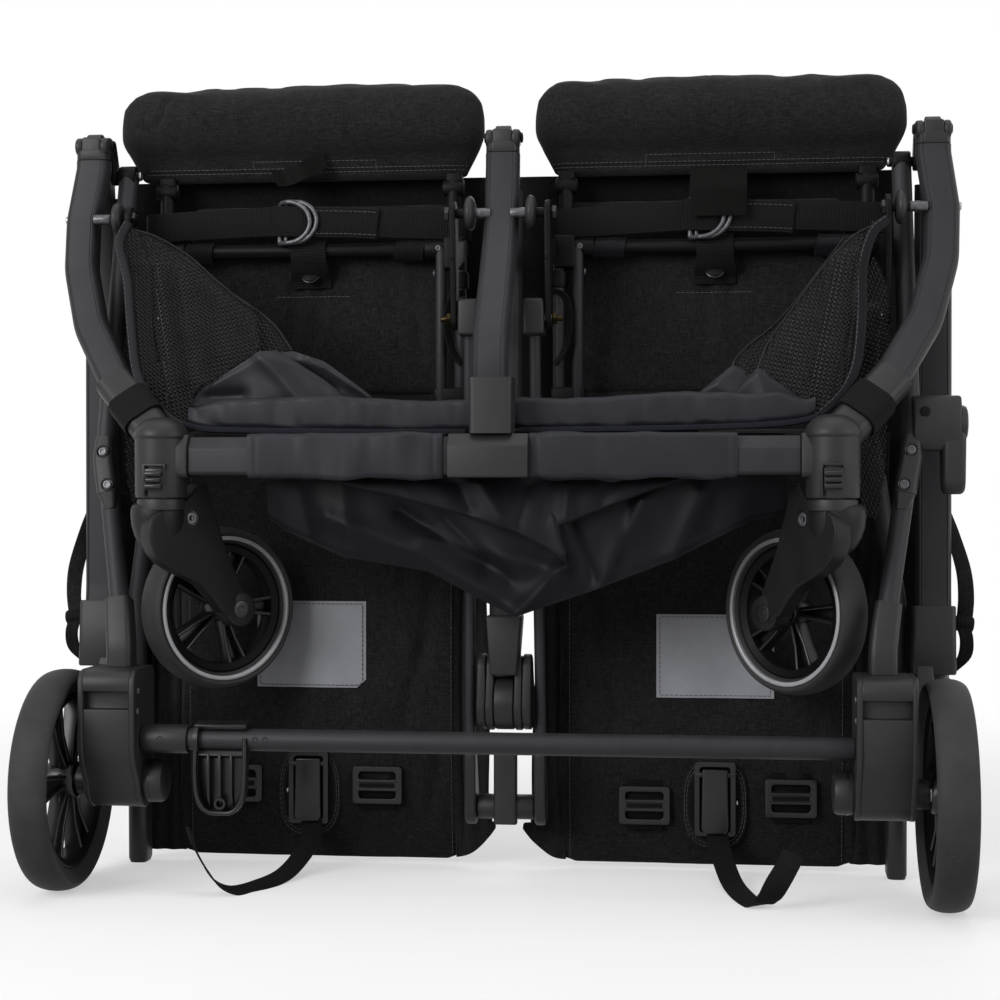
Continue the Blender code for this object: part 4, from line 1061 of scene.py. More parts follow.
class STROLLER_OT_rear_frame(bpy.types.Operator):
    """Builds the rear legs, wheel brackets, axle, brake pedal, storage latch and rear wheels"""

    bl_idname = "stroller.rear_frame"
    bl_label = "Rear frame and wheels"

    def execute(self, context):
        for word, side in SIDES:
            self.leg(word, side)
            self.bracket(word, side)
            wheel(f"rear_wheel_piece_{word}", (side * 348.5, *REAR_AXLE), (side, 0, 0), REAR_WHEEL_R,
                  31, 15, 6, f"rear_wheel_{word}", (f"rear_tyre_{word}", f"rear_rim_{word}"))
        axle = Piece("axle_tube")
        axle.pin(-278.6, 278.6, AXLE_TUBE, 8.75, "tube", 0.6, 40)
        axle.pin(-278.6, -241, AXLE_TUBE, 11.4, "plastic", 1.2, 40)
        for x, reach in ((-262, 11.3), (-186, 8.6), (-178, 8.6)):
            axle.lathe([(2.4, 0), (2.2, 0.3), (1.6, 0.25), (1.5, -0.3), (0, -0.3)],
                       (x, AXLE_TUBE[0] - reach, AXLE_TUBE[1] + 1), NEAR, "gloss", 20)
        axle.done("rear_frame", ("rear_axle",))
        self.pedal()
        self.latch()
        return {"FINISHED"}

    def leg(self, word, side):
        route = [(323, 92, 588), (326, 39, 356), (306, 13, 232), (301, 2, 195), (301, 2, 181)]
        leg = Piece(f"rear_leg_tube_{word}")
        leg.tube(mirrored(route, side), 8, "tube", 60)
        leg.lathe(collar(4.4, 8.6, 7, 0.6, 1), (side * 323, *REAR_PIVOT), ACROSS, "black", 36)
        plate = [(326.4, 41, 364), (325.4, 36.6, 345), (320, 30, 318), (317, 26.4, 305)]
        leg.sweep(rounded(mirrored(plate, side), 30), round_box(17, 21, 4.5), "plastic", ACROSS,
                  lambda t: (1 - 0.45 * ramp(t, 0.93, 1) - 0.2 * (1 - ramp(t, 0, 0.06)),
                             1 - 0.35 * ramp(t, 0.93, 1) - 0.2 * (1 - ramp(t, 0, 0.06))))
        for x, y, z in ((325, 27.6, 353), (319, 20.6, 326)):
            leg.lathe([(5.4, -1), (5.4, 0.3), (4.9, 0.7), (4.3, 0.3), (4.1, -0.6), (0, -0.6)],
                      (side * x, y, z), (0, -1, 0.22), "gloss", 32)
            leg.screw((side * x, y, z), (0, -1, 0.22), 3.7, 0.8, "lacquer")
        sleeve = [(306.4, 13.4, 232.5), (303, 6, 212), (301, 2, 196), (301, 2, 180.4)]
        leg.sweep(rounded(mirrored(sleeve, side), 40), round_box(21, 21, 4.6), "plastic", ACROSS,
                  lambda t: (1 - 0.04 * (1 - ramp(t, 0, 0.04)),) * 2)
        leg.done("rear_frame", (f"rear_leg_{word}",), "coated_tube")

    def bracket(self, word, side):
        piece = Piece(f"wheel_bracket_{word}")
        body = [(19, 176), (19.6, 124), *arc(REAR_AXLE, 20.6, 0, -181, -15), (-31, 104), (-34, 118),
                (-34.6, 149), (-28.4, 149.4), (-28.4, 162.6), (-35.4, 163), (-36, 168),
                *arc((-25, 169), 11, 180, 89, -15), (16, 180)]
        piece.slab(body, *span(side, 283, 321), "plastic", 0.9)
        cheek = [(19.6, 174), (20, 124), *arc(REAR_AXLE, 21, 0, -181, -15), (-31.6, 104), (-36, 118),
                 (-36, 160), *arc((-24, 168), 12, 170, 89, -16), (15, 180)]
        for ends in (span(side, 279.1, 283.6), span(side, 320.4, 324.9)):
            piece.slab(cheek, *ends, "plastic", 1.1)
        piece.pin(side * 263, side * 281, REAR_AXLE, 16.8, "plastic", 4, 44)
        piece.lathe([(17.1, -0.5), (17.1, 0.5), (16.4, 0.5), (16.4, -0.5), (17.1, -0.5)],
                    (side * 274, *REAR_AXLE), ACROSS, "gloss", 44)
        for y, z in ((-24, 163), (-26, 147), (-4, 98)):
            piece.screw((side * 279.2, y, z), (-side, 0, 0), 2.6, 1.1, "lacquer")
        piece.pin(side * 322, side * 336, REAR_AXLE, 11.5, "plastic", 1)
        piece.pin(side * 330, side * 367, REAR_AXLE, 5.9, "steel")
        piece.dome((side * 364.6, *REAR_AXLE), (side, 0, 0), 10.6, 4.2, "gloss", 1)
        piece.done("rear_frame", (f"rear_bracket_{word}",))

    def pedal(self):
        piece = Piece("brake_pedal_shell")
        x0, x1 = -235.6, -192.4
        y, z = AXLE_TUBE
        turns = [math.radians(a) for a in range(52, 309, 8)]
        clip = [(y - 14.8 * math.cos(a), z + 14.8 * math.sin(a)) for a in turns]
        clip += [(y - 9.3 * math.cos(a), z + 9.3 * math.sin(a)) for a in reversed(turns)]
        piece.slab(clip, x0 + 0.4, x1 - 0.4, "gloss", 0.9)
        piece.ring(hoop(13.4, 9.3, 1.8), (x0 + 2.4, y, z), ACROSS, "gloss", 48)
        middle = (x0 + x1) / 2
        wall = [(x0 + 1.8, -17, 126), (x0 + 1.8, -19, 96), (x0 + 4, -19, 78), (x0 + 11, -18.5, 68.6),
                (middle, -18, 67.2), (x1 - 11, -18.5, 68.6), (x1 - 4, -19, 78), (x1 - 1.8, -19, 96),
                (x1 - 1.8, -17, 126)]
        piece.sweep(smooth_path(wall, 6), round_box(3.4, 12, 1.4, 3), "gloss",
                    lambda t: (math.cos(math.pi * t), 0, math.sin(math.pi * t)))
        outline = [(x0 + 1, 122), (x1 - 1, 122), (x1 - 1, 92), (x1 - 4, 77), (x1 - 11, 67.4),
                   (x0 + 11, 67.4), (x0 + 4, 77), (x0 + 1, 92)]
        piece.slab(outline, -15.4, -12.6, "gloss", 0.6, standing, 2)
        for x in (x0 + 12.4, middle, x1 - 12.4):
            piece.slab([(-22.4, 113), (-22.4, 82), (-19, 72), (-13, 72), (-13, 113)], x - 1, x + 1,
                       "gloss", 0.4, steps=2)
        piece.ring(hoop(4.6, 2.8, 4), (middle, -18.4, 74.5), (0, 1, 0), "gloss", 32)
        piece.done("brake", ("brake_pedal",))

    def latch(self):
        piece = Piece("latch_shell")
        outline = [(31, 360), (30, 374), (32, 388), (37, 395.6), (56, 395.6), (60.6, 388), (60.6, 352),
                   (36, 352)]
        piece.slab(outline, 326.8, 364.6, "plastic", 2.4, steps=4)
        piece.slab(capsule((46, 360), (46, 330), 15, 12), 350, 368, "plastic", 4, steps=5)
        piece.bar((362, 45, 374), (369.6, 45, 374), 14, "plastic", 3, 48)
        piece.dome((336, 31, 383), (0, -1, 0.1), 4.0, 1.6, "black", 0.8)
        piece.done("latch", ("storage_latch",))


class STROLLER_OT_seat_frames(bpy.types.Operator):
    """Builds the seat tube frames and the push rods that carry the backrests"""

    bl_idname = "stroller.seat_frames"
    bl_label = "Seat and back frames"

    def execute(self, context):
        for word, side in SIDES:
            self.seat(word, side)
            self.rods(word, side)
        bar = Piece("middle_bar_piece")
        bar.bar((-23.8, 96, 57), (23.8, 96, 57), 10.4, "plastic", 1.4, 40)
        bar.ring(hoop(10.8, 10.2, 5), (-2, 96, 57), ACROSS, "plastic", 40)
        bar.sweep([(0, 89, 44), (0, 89, 46), (0, 89, 108), (0, 90, 116)], round_box(19, 13, 2.6),
                  "plastic", ACROSS)
        bar.done("back_frame", ("middle_bar",))
        return {"FINISHED"}

    def seat(self, word, side):
        y, z = SEAT_TUBE
        piece = Piece(f"seat_tubes_{word}")
        # The seat tube takes the black nylon, whose darkness is partly painted shade.
        piece.bar((side * 38.2, y, z), (side * 308.8, y, z), 6, "black", 1, 36)
        for ends in (span(side, 306.6, 311.4), span(side, 36.1, 40.9)):
            piece.slab(capsule(SEAT_PIVOT, BACK_PIVOT, 10, 9), *ends, "black", 1)
            piece.slab(capsule((56, 512), SEAT_TUBE, 11, 7.5), ends[0] + 0.1, ends[1] - 0.1, "black", 1)
        piece.pin(side * 288, side * 309, BACK_PIVOT, 3.9)
        piece.pin(side * 21, side * 38, BACK_PIVOT, 3.9)
        piece.screw((side * 288.4, *BACK_PIVOT), (-side, 0, 0), 6, 3)
        piece.bar((side * 42, y, z + 6), (side * 42, y - 1, 400), 5.2, "tube")
        piece.bar((side * 58, y - 4, z), (side * 58, y - 5, 396), 4.6, "tube")
        for x in (48, 298):
            piece.bar((side * x, y + 2, z + 2), (side * x, y + 3, z + 58), 6.2, "black", 1)
            piece.block((side * x - 9, y - 4, z + 14), (side * x + 9, y + 8, z + 26), "black", 2.4, 4)
        low, high = span(side, 38, 56)
        piece.block((low, y - 9, 508), (high, y + 8, 536), "black", 2.4, 4)
        piece.bar((side * 42, y, 506), (side * 42, y - 0.2, 492), 7.4, "black", 1)
        piece.bar((side * 52, y, z), (side * 72, y, z), 8.2, "black", 1.2, 36)
        piece.bar((side * 281, y, z), (side * 300, y, z), 8.2, "black", 1.2, 36)
        for x in (side * 60, side * 290):
            piece.screw((x, y - 8.0, z), NEAR, 2.6, 0.9, "lacquer")
        low, high = span(side, 36, 64)
        piece.block((low, y - 8.8, 394), (high, y + 5.8, 408), "black", 2)
        piece.screw((side * 63.6, y - 3, 505), (side, 0, 0), 3, 1.4, "lacquer")
        piece.done("seat_frame", (f"seat_frame_{word}",), "coated_tube")

    def rods(self, word, side):
        outer = Piece(f"outer_rod_tube_{word}")
        route = [(296, *BACK_PIVOT), (297, 92, 372), (322, 112, 230), (322, 118, 60), (322, 118, 3)]
        outer.tube(mirrored(route, side), 7.5, "tube", 60)
        outer.lathe(collar(4.4, 11, 7, 0.8, 1), (side * 296.7, *BACK_PIVOT), ACROSS, "plastic", 36)
        foot = [(322, 119, 66), (322, 119, 63), (322, 120, 4), (322, 120, 0.2)]
        outer.sweep(mirrored(foot, side), round_box(16.6, 24, 6), "plastic", ACROSS,
                    lambda t: (1 - 0.2 * (1 - ramp(t, 0, 0.12)) - 0.14 * ramp(t, 0.9, 1),) * 2)
        outer.bar((side * 320, 118, 57), (side * 333, 118, 57), 4.9, "steel")
        outer.screw((side * 331, 118, 57), (side, 0, 0), 4.4, 1.6)
        outer.done("back_frame", (f"outer_rod_{word}",), "coated_tube")
        inner = Piece(f"inner_rod_tube_{word}")
        inner.tube(mirrored([(27, *BACK_PIVOT), (28, 74, 300), (30, 92, 70)], side), 4.5, "tube", 60)
        inner.lathe(collar(4.4, 9, 5.6, 0.6, 0.8), (side * 28.2, *BACK_PIVOT), ACROSS, "plastic", 36)
        inner.slab(capsule((88, 100), (96, 57), 8, 15), *span(side, 24.4, 33.8), "plastic", 2.4,
                   steps=4)
        inner.done("back_frame", (f"inner_rod_{word}",), "coated_tube")


class STROLLER_OT_handle(bpy.types.Operator):
    """Builds the handle frame, the folded handlebar with its button, and the canopy bows"""

    bl_idname = "stroller.handle"
    bl_label = "Handle and canopy bows"

    def tongue(self, piece, low, high):
        crook = (97, 604)
        piece.slab(capsule(CAP_PIVOT, crook, 9, 7), low + 0.2, high - 0.2, "plastic", 1.2)
        piece.slab(capsule(crook, (103, 558), 7.5, 8), low + 0.4, high - 0.4, "plastic", 1.2)

    def execute(self, context):
        for word, side in SIDES:
            x = side * 350
            piece = Piece(f"handle_side_{word}")
            route = [(x, 104, 571), (x, 107, 545), (x, 107, 240), (x, 101, 172)]
            piece.sweep(rounded(route, 60), ridged_oval(30, 20), "tube", ACROSS)
            self.tongue(piece, *span(side, 339.5, 352.5))
            piece.sweep([(x, 106, 226.4), (x, 105.9, 225), (x, 101.6, 172), (x, 101.5, 170.6)],
                        round_box(35.6, 25.6, 4), "plastic", ACROSS,
                        lambda t: (1 - 0.05 * abs(2 * t - 1) ** 30,) * 2)
            piece.slab(capsule((101, 178), HANDLE_PIVOT, 11, 15), *span(side, 335.2, 349.3), "plastic",
                       1.8)
            low, high = span(side, 335.2, 340.8)
            piece.block((low, 110, 301.4), (high, 158, 318.6), "plastic", 1.8)
            piece.pin(side * 316.4, side * 337, CANOPY_PIVOT, 3.4, "steel")
            piece.dome((side * 317.6, *CANOPY_PIVOT), (-side, 0, 0), 6, 2.4)
            piece.done("handle_frame", (f"handle_tube_{word}",), "coated_tube")
            clip = Piece(f"cloth_clip_{word}")
            clip.bar((side * 368, 106, 213), (side * 383, 106, 211), 6.4, "webbing", 2)
            for shift in (0, 5):
                clip.sweep(smooth_path([(side * (371 + shift), 102, 212),
                                        (side * (374 + shift), 99.6, 200),
                                        (side * (373 + shift), 103, 186), (side * 367, 108, 174)], 6),
                           round_box(6, 1.4, 0.6, 2), "webbing", ACROSS)
            clip.done("handle_frame", (f"side_clip_{word}",))
            self.bow(word, side)
        self.centre()
        self.bar()
        return {"FINISHED"}

    def centre(self):
        piece = Piece("handle_middle")
        route = [(0, 100, 571), (0, 98, 545), (0, 86, 230), (0, 86, 184)]
        piece.sweep(rounded(route, 60), ridged_oval(26, 20), "tube", ACROSS)
        self.tongue(piece, -6.5, 6.5)
        tongue = [(-11, 169), (-14.6, 218), (14.6, 218), (11, 169)]
        piece.slab(tongue, 69, 99, "plastic", 2, standing)
        for _, side in SIDES:
            piece.slab(capsule((88, 172), HANDLE_PIVOT, 12, 23.3), *span(side, 8.5, 15), "plastic", 1.6)
            piece.slab(capsule((88, 172), HANDLE_PIVOT, 13.4, 22.6), *span(side, 15.2, 22.3), "plastic",
                       1.6)
        piece.block((-11.8, 92, 301.2), (11.8, 157.6, 318.8), "plastic", 2)
        piece.pin(-49.6, 49.6, CANOPY_PIVOT, 3.4, "steel")
        piece.done("handle_frame", ("handle_tube_centre",), "coated_tube")

    def bar(self):
        piece = Piece("handlebar_tube")
        y, z = 172, 345
        piece.tube([(-358, 130, 160), (-358, 152, 205), (-358, y, z), (358, y, z), (358, 152, 205),
                    (358, 130, 160)], 8.6, "tube", 34, 32)
        for _, side in SIDES:
            grip = [(side * x, y, z) for x in (44, 46, 180, 312, 314)]
            piece.sweep(grip, circle(11, 36), "tyre", None,
                        lambda t: (1 - 0.12 * abs(2 * t - 1) ** 24,) * 2)
            piece.slab(capsule(HANDLE_PIVOT, (130, 160), 15, 9), *span(side, 350.4, 365.8), "plastic",
                       2)
            piece.pin(side * 335, side * 360, HANDLE_PIVOT, 4.9)
        piece.slab(capsule(HANDLE_PIVOT, (130, 160), 22.8, 9), -8, 8, "plastic", 1.6)
        piece.tube([(0, 130, 160), (0, 150, 200), (0, y, z)], 7.5, "tube", 30)
        piece.pin(-22, 22, HANDLE_PIVOT, 4.9, "steel")
        piece.block((-33.6, y - 12.8, z - 12.8), (33.6, y + 11.8, z + 12.8), "plastic", 4, 5)
        piece.done("handle", ("handlebar",), "coated_tube")
        button = Piece("fold_button_key")
        button.block((-13.8, y - 7.8, z + 14), (13.8, y + 7.8, z + 20.8), "gloss", 1.6, 4)
        button.done("fold_button", ("fold_button",))

    def bow(self, word, side):
        y, z = CANOPY_PIVOT
        piece = Piece(f"canopy_bow_tube_{word}")
        route = [(46, y, z), (46, y, 58), (322, y, 58), (322, y, z)]
        piece.tube(mirrored(route, side), 3.6, "gloss", 55, 20)
        for x in (46, 322):
            piece.lathe(collar(3.9, 8, 3.4, 0.4, 0.6), (side * x, y, z), ACROSS, "gloss", 32)
        piece.done(f"canopy_{word}", (f"canopy_bow_{word}",))


# The soft pieces. A pad is skinned from its outline, blown up as cloth, and sewn.

AIR_FRAMES = 20  # frames of cloth simulation that blow a pad up


def padding(x0, x1, z0, z1, front, back, corner=(12, 12), squeeze=14, columns=56, rows=22, top=None):
    """Rows of points for a closed pad between x0 and x1. front and back give y for a height share."""
    mid, half = (x0 + x1) / 2, (x1 - x0) / 2
    lines = []
    for i in range(columns + 1):
        turn = math.pi * i / columns
        x = mid - half * (0.42 * math.cos(turn) + 0.58 * (1 - 2 * i / columns))
        left = half - abs(x - mid)
        high, low = z1 + (top(x) if top else 0), z0
        if left < corner[0]:
            high -= corner[0] * (1 - math.sqrt(max(0, 1 - (1 - left / corner[0]) ** 2)))
        if left < corner[1]:
            low += corner[1] * (1 - math.sqrt(max(0, 1 - (1 - left / corner[1]) ** 2)))
        thin = math.sqrt(max(0.02, 1 - max(0, 1 - left / squeeze) ** 2))
        line = []
        for way, face in ((0, front), (1, back)):
            for j in range(rows + 1):
                v = j / rows if way == 0 else 1 - j / rows
                height = low + (high - low) * v
                share = (height - z0) / (z1 - z0)
                core = (front(share) + back(share)) / 2
                line.append(Vector((x, core + (face(share) - core) * thin, height)))
        lines.append(line)
    return lines


def swell(rows, cap, pinned=None, pressure=4.0, voxel=5.0):
    """Skins a closed pad, fills it with air as cloth and gives its mesh in drawing millimetres.

    No point moves further than cap. pinned(x, y, z) holds the cloth where it is sewn down.
    """
    form = Piece("pad_form").grid(rows, "cloth", closed_rows=True, caps=True)
    thing = form.done()
    thing.modifiers.new("even", "REMESH").voxel_size = voxel * MM
    bake(thing)
    start = [v.co.copy() for v in thing.data.vertices]
    pins = thing.vertex_groups.new(name="pins")
    for index, spot in enumerate(start):
        weight = pinned(spot.x / MM, spot.y / MM + DEPTH_MID, spot.z / MM) if pinned else 0
        if weight > 0:
            pins.add([index], weight, "REPLACE")
    settings = thing.modifiers.new("air", "CLOTH").settings
    settings.use_pressure = True
    settings.uniform_pressure_force = pressure
    settings.effector_weights.gravity = 0
    settings.quality = 4
    settings.mass = 0.3
    settings.vertex_group_mass = "pins"
    scene = bpy.context.scene
    for frame_number in range(1, AIR_FRAMES + 1):
        scene.frame_set(frame_number)
    bake(thing)
    scene.frame_set(1)
    for spot, vert in zip(start, thing.data.vertices):
        moved = vert.co - spot
        if moved.length > cap * MM:
            vert.co = spot + moved.normalized() * cap * MM
    thing.modifiers.new("round", "SUBSURF").levels = 1
    bake(thing)
    bm = bmesh.new()
    bm.from_mesh(thing.data)
    for vert in bm.verts:
        vert.co = (vert.co.x / MM, vert.co.y / MM + DEPTH_MID, vert.co.z / MM)
    old = thing.data
    bpy.data.objects.remove(thing)
    bpy.data.meshes.remove(old)
    return bm


def bake(thing):
    """Applies the piece's modifiers."""
    graph = bpy.context.evaluated_depsgraph_get()
    made = bpy.data.meshes.new_from_object(thing.evaluated_get(graph))
    old = thing.data
    thing.modifiers.clear()
    thing.data = made
    bpy.data.meshes.remove(old)


def dent(bm, route, wide, deep, facing=-1):
    """Presses a seam along a route of (x, z) points into the front of a pad."""
    spots = [Vector((a, b)) for a, b in route]
    low = Vector((min(p.x for p in spots), min(p.y for p in spots))) - Vector((3 * wide, 3 * wide))
    high = Vector((max(p.x for p in spots), max(p.y for p in spots))) + Vector((3 * wide, 3 * wide))
    for vert in bm.verts:
        x, _, z = vert.co
        if not (low.x < x < high.x and low.y < z < high.y) or vert.normal.y * facing < 0.25:
            continue
        here = Vector((x, z))
        near = min(gap_to(here, a, b) for a, b in zip(spots, spots[1:]))
        if near < 3 * wide:
            vert.co.y -= facing * deep * math.exp(-((near / wide) ** 2))


def gap_to(point, a, b):
    way = b - a
    share = min(max((point - a).dot(way) / max(way.dot(way), 1e-9), 0), 1)
    return (a + way * share - point).length


def ripple(bm, amount, size, stretch=(1, 1, 1), seed=0, facing=-1):
    """Lets the face of a pad undulate a little."""
    for vert in bm.verts:
        if vert.normal.y * facing > 0.1:
            x, y, z = vert.co
            vert.co.y += amount * wave(x / stretch[0], y / stretch[1], z / stretch[2], size, seed)


def laid_on(bm, route, off=0.35, step=2.0, facing=-1):
    """The route of (x, z) points as points on the front of a pad."""
    tree = BVHTree.FromBMesh(bm)
    spots = []
    for (a, b), (c, d) in zip(route, route[1:]):
        count = max(2, int(math.hypot(c - a, d - b) / step))
        for index in range(count):
            x, z = a + (c - a) * index / count, b + (d - b) * index / count
            hit = tree.ray_cast(Vector((x, facing * 400, z)), Vector((0, -facing, 0)))[0]
            if hit:
                spots.append(hit + Vector((0, facing * off, 0)))
    return spots


class STROLLER_OT_leg_rests(bpy.types.Operator):
    """Builds the two padded leg rests with their gathered top edge, seams and hinges"""

    bl_idname = "stroller.leg_rests"
    bl_label = "Leg rest pads"

    def execute(self, context):
        for number, (word, side) in enumerate(SIDES):
            self.pad(word, side, number)
        return {"FINISHED"}

    def pad(self, word, side, number):
        heights = (0, 0.05, 0.16, 0.27, 0.36, 0.48, 0.62, 0.78, 0.9, 1)
        faces = (129, 124.5, 121.5, 119, 110, 106.6, 106.8, 110.6, 117.5, 129)

        def front(v):
            for a, b, p, q in zip(heights, heights[1:], faces, faces[1:]):
                if v <= b:
                    return p + (q - p) * ramp(v, a, b)
            return faces[-1]

        def top(x):
            gather = 1.8 * abs(math.sin(x / 13.0 + number)) + 1.6 * wave(x, 0, 0, 31, 4 + number)
            return gather - 1.5 - 5.0 * ((abs(x) - 171) / 149) ** 2

        low, high = span(side, 21, 339 if side < 0 else 331)
        bm = swell(padding(low, high, 586, 672, front, lambda v: 141.5 - 6 * v**6 - 5 * (1 - v) ** 6,
                           (30, 10), 22, top=top), 6, lambda x, y, z: 1.0 if z < 607 or y > 139 else 0)
        seam = [(side * 30, 594), (side * 318, 594)]
        panel = [(side * 115, 594), (side * 115, 603), (side * 222, 603), (side * 222, 594)]
        tuck = [(side * 296, 655), (side * 299, 642), (side * 303, 634)]
        for vert in bm.verts:
            vert.co.x -= 0.09 * (vert.co.x - side * 176) * (1 - ramp(vert.co.z, 586, 626))
        bm.normal_update()
        ripple(bm, 1.3, 46, (2.4, 1, 1), 11 + number)
        ripple(bm, 0.45, 15, (1.6, 1, 1), 31 + number)
        dent(bm, seam, 1.5, 0.9)
        dent(bm, panel, 1.0, 0.35)
        dent(bm, tuck, 3.2, 2.6)
        for step in range(9):
            x = side * (46 + 30 * step + 7 * wave(step, 0, 0, 1.7, number))
            dent(bm, [(x, 670), (x + 3, 652 + 5 * wave(step, 1, 0, 1.3, number))], 2.8, 2.2)
        bm.normal_update()
        threads = [laid_on(bm, seam), laid_on(bm, [(a, b + 3.2) for a, b in seam]), laid_on(bm, panel)]
        piece = Piece(f"leg_rest_{word}")
        piece.take(bm, "cloth")
        for thread in threads:
            piece.stitches(thread, off=(0, 0.05, 0))
        for x in (48, 298):
            piece.pin(side * x - 9, side * x + 9, LEG_REST_PIVOT, 7, "black", 1.4)
            piece.block((side * x - 7, 121, 578), (side * x + 7, 132, 592), "black", 2.4, 4)
        piece.done(f"leg_rest_{word}", (f"leg_rest_pad_{word}",), "heather_cloth")


class STROLLER_OT_seats(bpy.types.Operator):
    """Builds the seat cushions and backrests, the cloth between them and what is sewn to them"""

    bl_idname = "stroller.seats"
    bl_label = "Seats and backrests"

    def execute(self, context):
        for number, (word, side) in enumerate(SIDES):
            self.cushion(word, side, number)
            self.backrest(word, side, number)
            self.hammock(word, side, number)
            self.slider(word, side)
            self.pocket(word, side)
        return {"FINISHED"}

    def cushion(self, word, side, number):
        low, high = span(side, 38, 283)
        bm = swell(padding(low, high, 404, 569, lambda v: 133.5 + 3 * v**8, lambda v: 143 - 3 * v**8,
                           (14, 10), 16), 4, lambda x, y, z: 1.0 if z < 410 or z > 562 else 0)
        bm.normal_update()
        ripple(bm, 2.0, 58, (0.6, 1, 2.6), 51 + number)
        ripple(bm, 0.8, 24, (0.6, 1, 2.4), 61 + number)
        for x, lean, drop in ((166, 3, 44), (186, 8, 70), (84, -6, 60)):
            dent(bm, [(side * x, 496), (side * (x + lean), 496 - drop)], 5.5, 2.4)
        bm.normal_update()
        piece = Piece(f"seat_pad_{word}")
        route = laid_on(bm, [(side * 140, 488), (side * 206, 488)])
        piece.take(bm, "cloth")
        piece.stitches(route, off=(0, 0.05, 0))
        piece.done("seat_frame", (f"seat_cushion_{word}",), "heather_cloth")

    def backrest(self, word, side, number):
        low, high = span(side, 37, 293)

        def front(v):
            return 127.5 + 2.5 * (1 - ramp(v, 0, 0.05)) + 1.5 * ramp(v, 0.85, 1)

        bm = swell(padding(low, high, 5, 374, front, lambda v: 138.5, (16, 14), 18, rows=60),
                   4.5, lambda x, y, z: 1.0 if z < 12 or z > 366 else 0)
        bm.normal_update()
        ripple(bm, 1.9, 80, (0.8, 1, 2.2), 71 + number)
        ripple(bm, 0.8, 27, (0.7, 1, 2.0), 81 + number)
        dent(bm, [(side * 48, 8), (side * 48, 372)], 1.6, 1.3)
        dent(bm, [(side * 281, 8), (side * 281, 372)], 1.6, 1.3)
        for x, z, run, drop in ((66, 250, 10, 70), (74, 190, 18, 66), (98, 300, -8, 60),
                                (262, 150, -9, 84), (60, 96, 9, 50)):
            dent(bm, [(side * x, z), (side * (x + run), z - drop)], 6.5, 3.0)
        bm.normal_update()
        seams = [laid_on(bm, [(side * x, 10), (side * x, 370)]) for x in (50.5, 278.5)]
        pad = BVHTree.FromBMesh(bm)
        piece = Piece(f"back_pad_{word}")
        piece.take(bm, "cloth")
        for seam in seams:
            piece.stitches(seam, off=(0, 0.05, 0))
        self.patch(piece, pad, side)
        piece.done("back_frame", (f"backrest_{word}",), "heather_cloth")

    def patch(self, piece, pad, side):
        """A bare grey patch sewn to the cloth, one lower corner cut off."""
        x0, x1 = side * 124, side * (219 if side < 0 else 222)
        z0, z1 = (152, 226) if side < 0 else (147, 217)
        cut = 7 if side < 0 else 0

        def face(u, v):
            x, z = x0 + (x1 - x0) * u, z0 + (z1 - z0) * v
            if u < 0.08 and cut:
                z = max(z, z0 + cut * (1 - u / 0.08))
            return pad.ray_cast(Vector((x, -400, z)), Vector((0, 1, 0)))[0] + Vector((0, -0.9, 0))

        cloth(piece, 36, 28, face, "patch", -0.7)
        rim = [(0.03, 0.03), (0.97, 0.03), (0.97, 0.97), (0.03, 0.97), (0.03, 0.03)]
        piece.stitches([face(u, max(v, 0.03)) - Vector((0, 0.5, 0)) for u, v in fine(rim, 20)])

    def hammock(self, word, side, number):
        """The sheet of seat cloth that runs from the seat round to the back."""

        def face(u, v):
            x = side * (42 + 240 * u)
            z = 372 + 44 * v
            bulge = 5 * math.sin(math.pi * v) + 2.2 * wave(x, 0, z, 34, 8 + number)
            return Vector((x, 141.5 - bulge, z))

        piece = Piece(f"seat_cloth_{word}")
        cloth(piece, 60, 18, face, "cloth", -1)
        thing = piece.done(None, (), "heather_cloth")
        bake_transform(thing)

    def slider(self, word, side):
        """Two square webbing guides with their short loops."""
        for number, x in enumerate((114, 236)):
            z = 69 - 5 * (side > 0) - 8 * (side > 0) * (number == 0)
            piece = Piece(f"web_guide_{word}_{number + 1}")
            mid = (side * x, 121.5, z)
            window(piece, 43, 32, ((-16, -11.5, 16, -3.6), (-16, 3.6, 16, 11.5)), 118.8, 123.4, mid,
                   "gloss")
            for z_end in (-3.6, 3.6):
                piece.sweep([(mid[0] - 17, 119.4, mid[2] + z_end),
                             (mid[0] + 17, 119.4, mid[2] + z_end)], circle(1.5, 12), "gloss")
            loop = [(mid[0], 121.6 - 2.4 * math.cos(a), mid[2] + 4.9 * math.sin(a))
                    for a in (math.radians(step) for step in range(-115, 116, 15))]
            piece.sweep(loop, round_box(31, 1.2, 0.5, 2), "webbing", ACROSS)
            piece.block((mid[0] - 15.5, 123.0, mid[2] - 21), (mid[0] + 15.5, 124.6, mid[2] + 21),
                        "webbing", 0.4)
            piece.done("back_frame", (), "moulded_plastic")

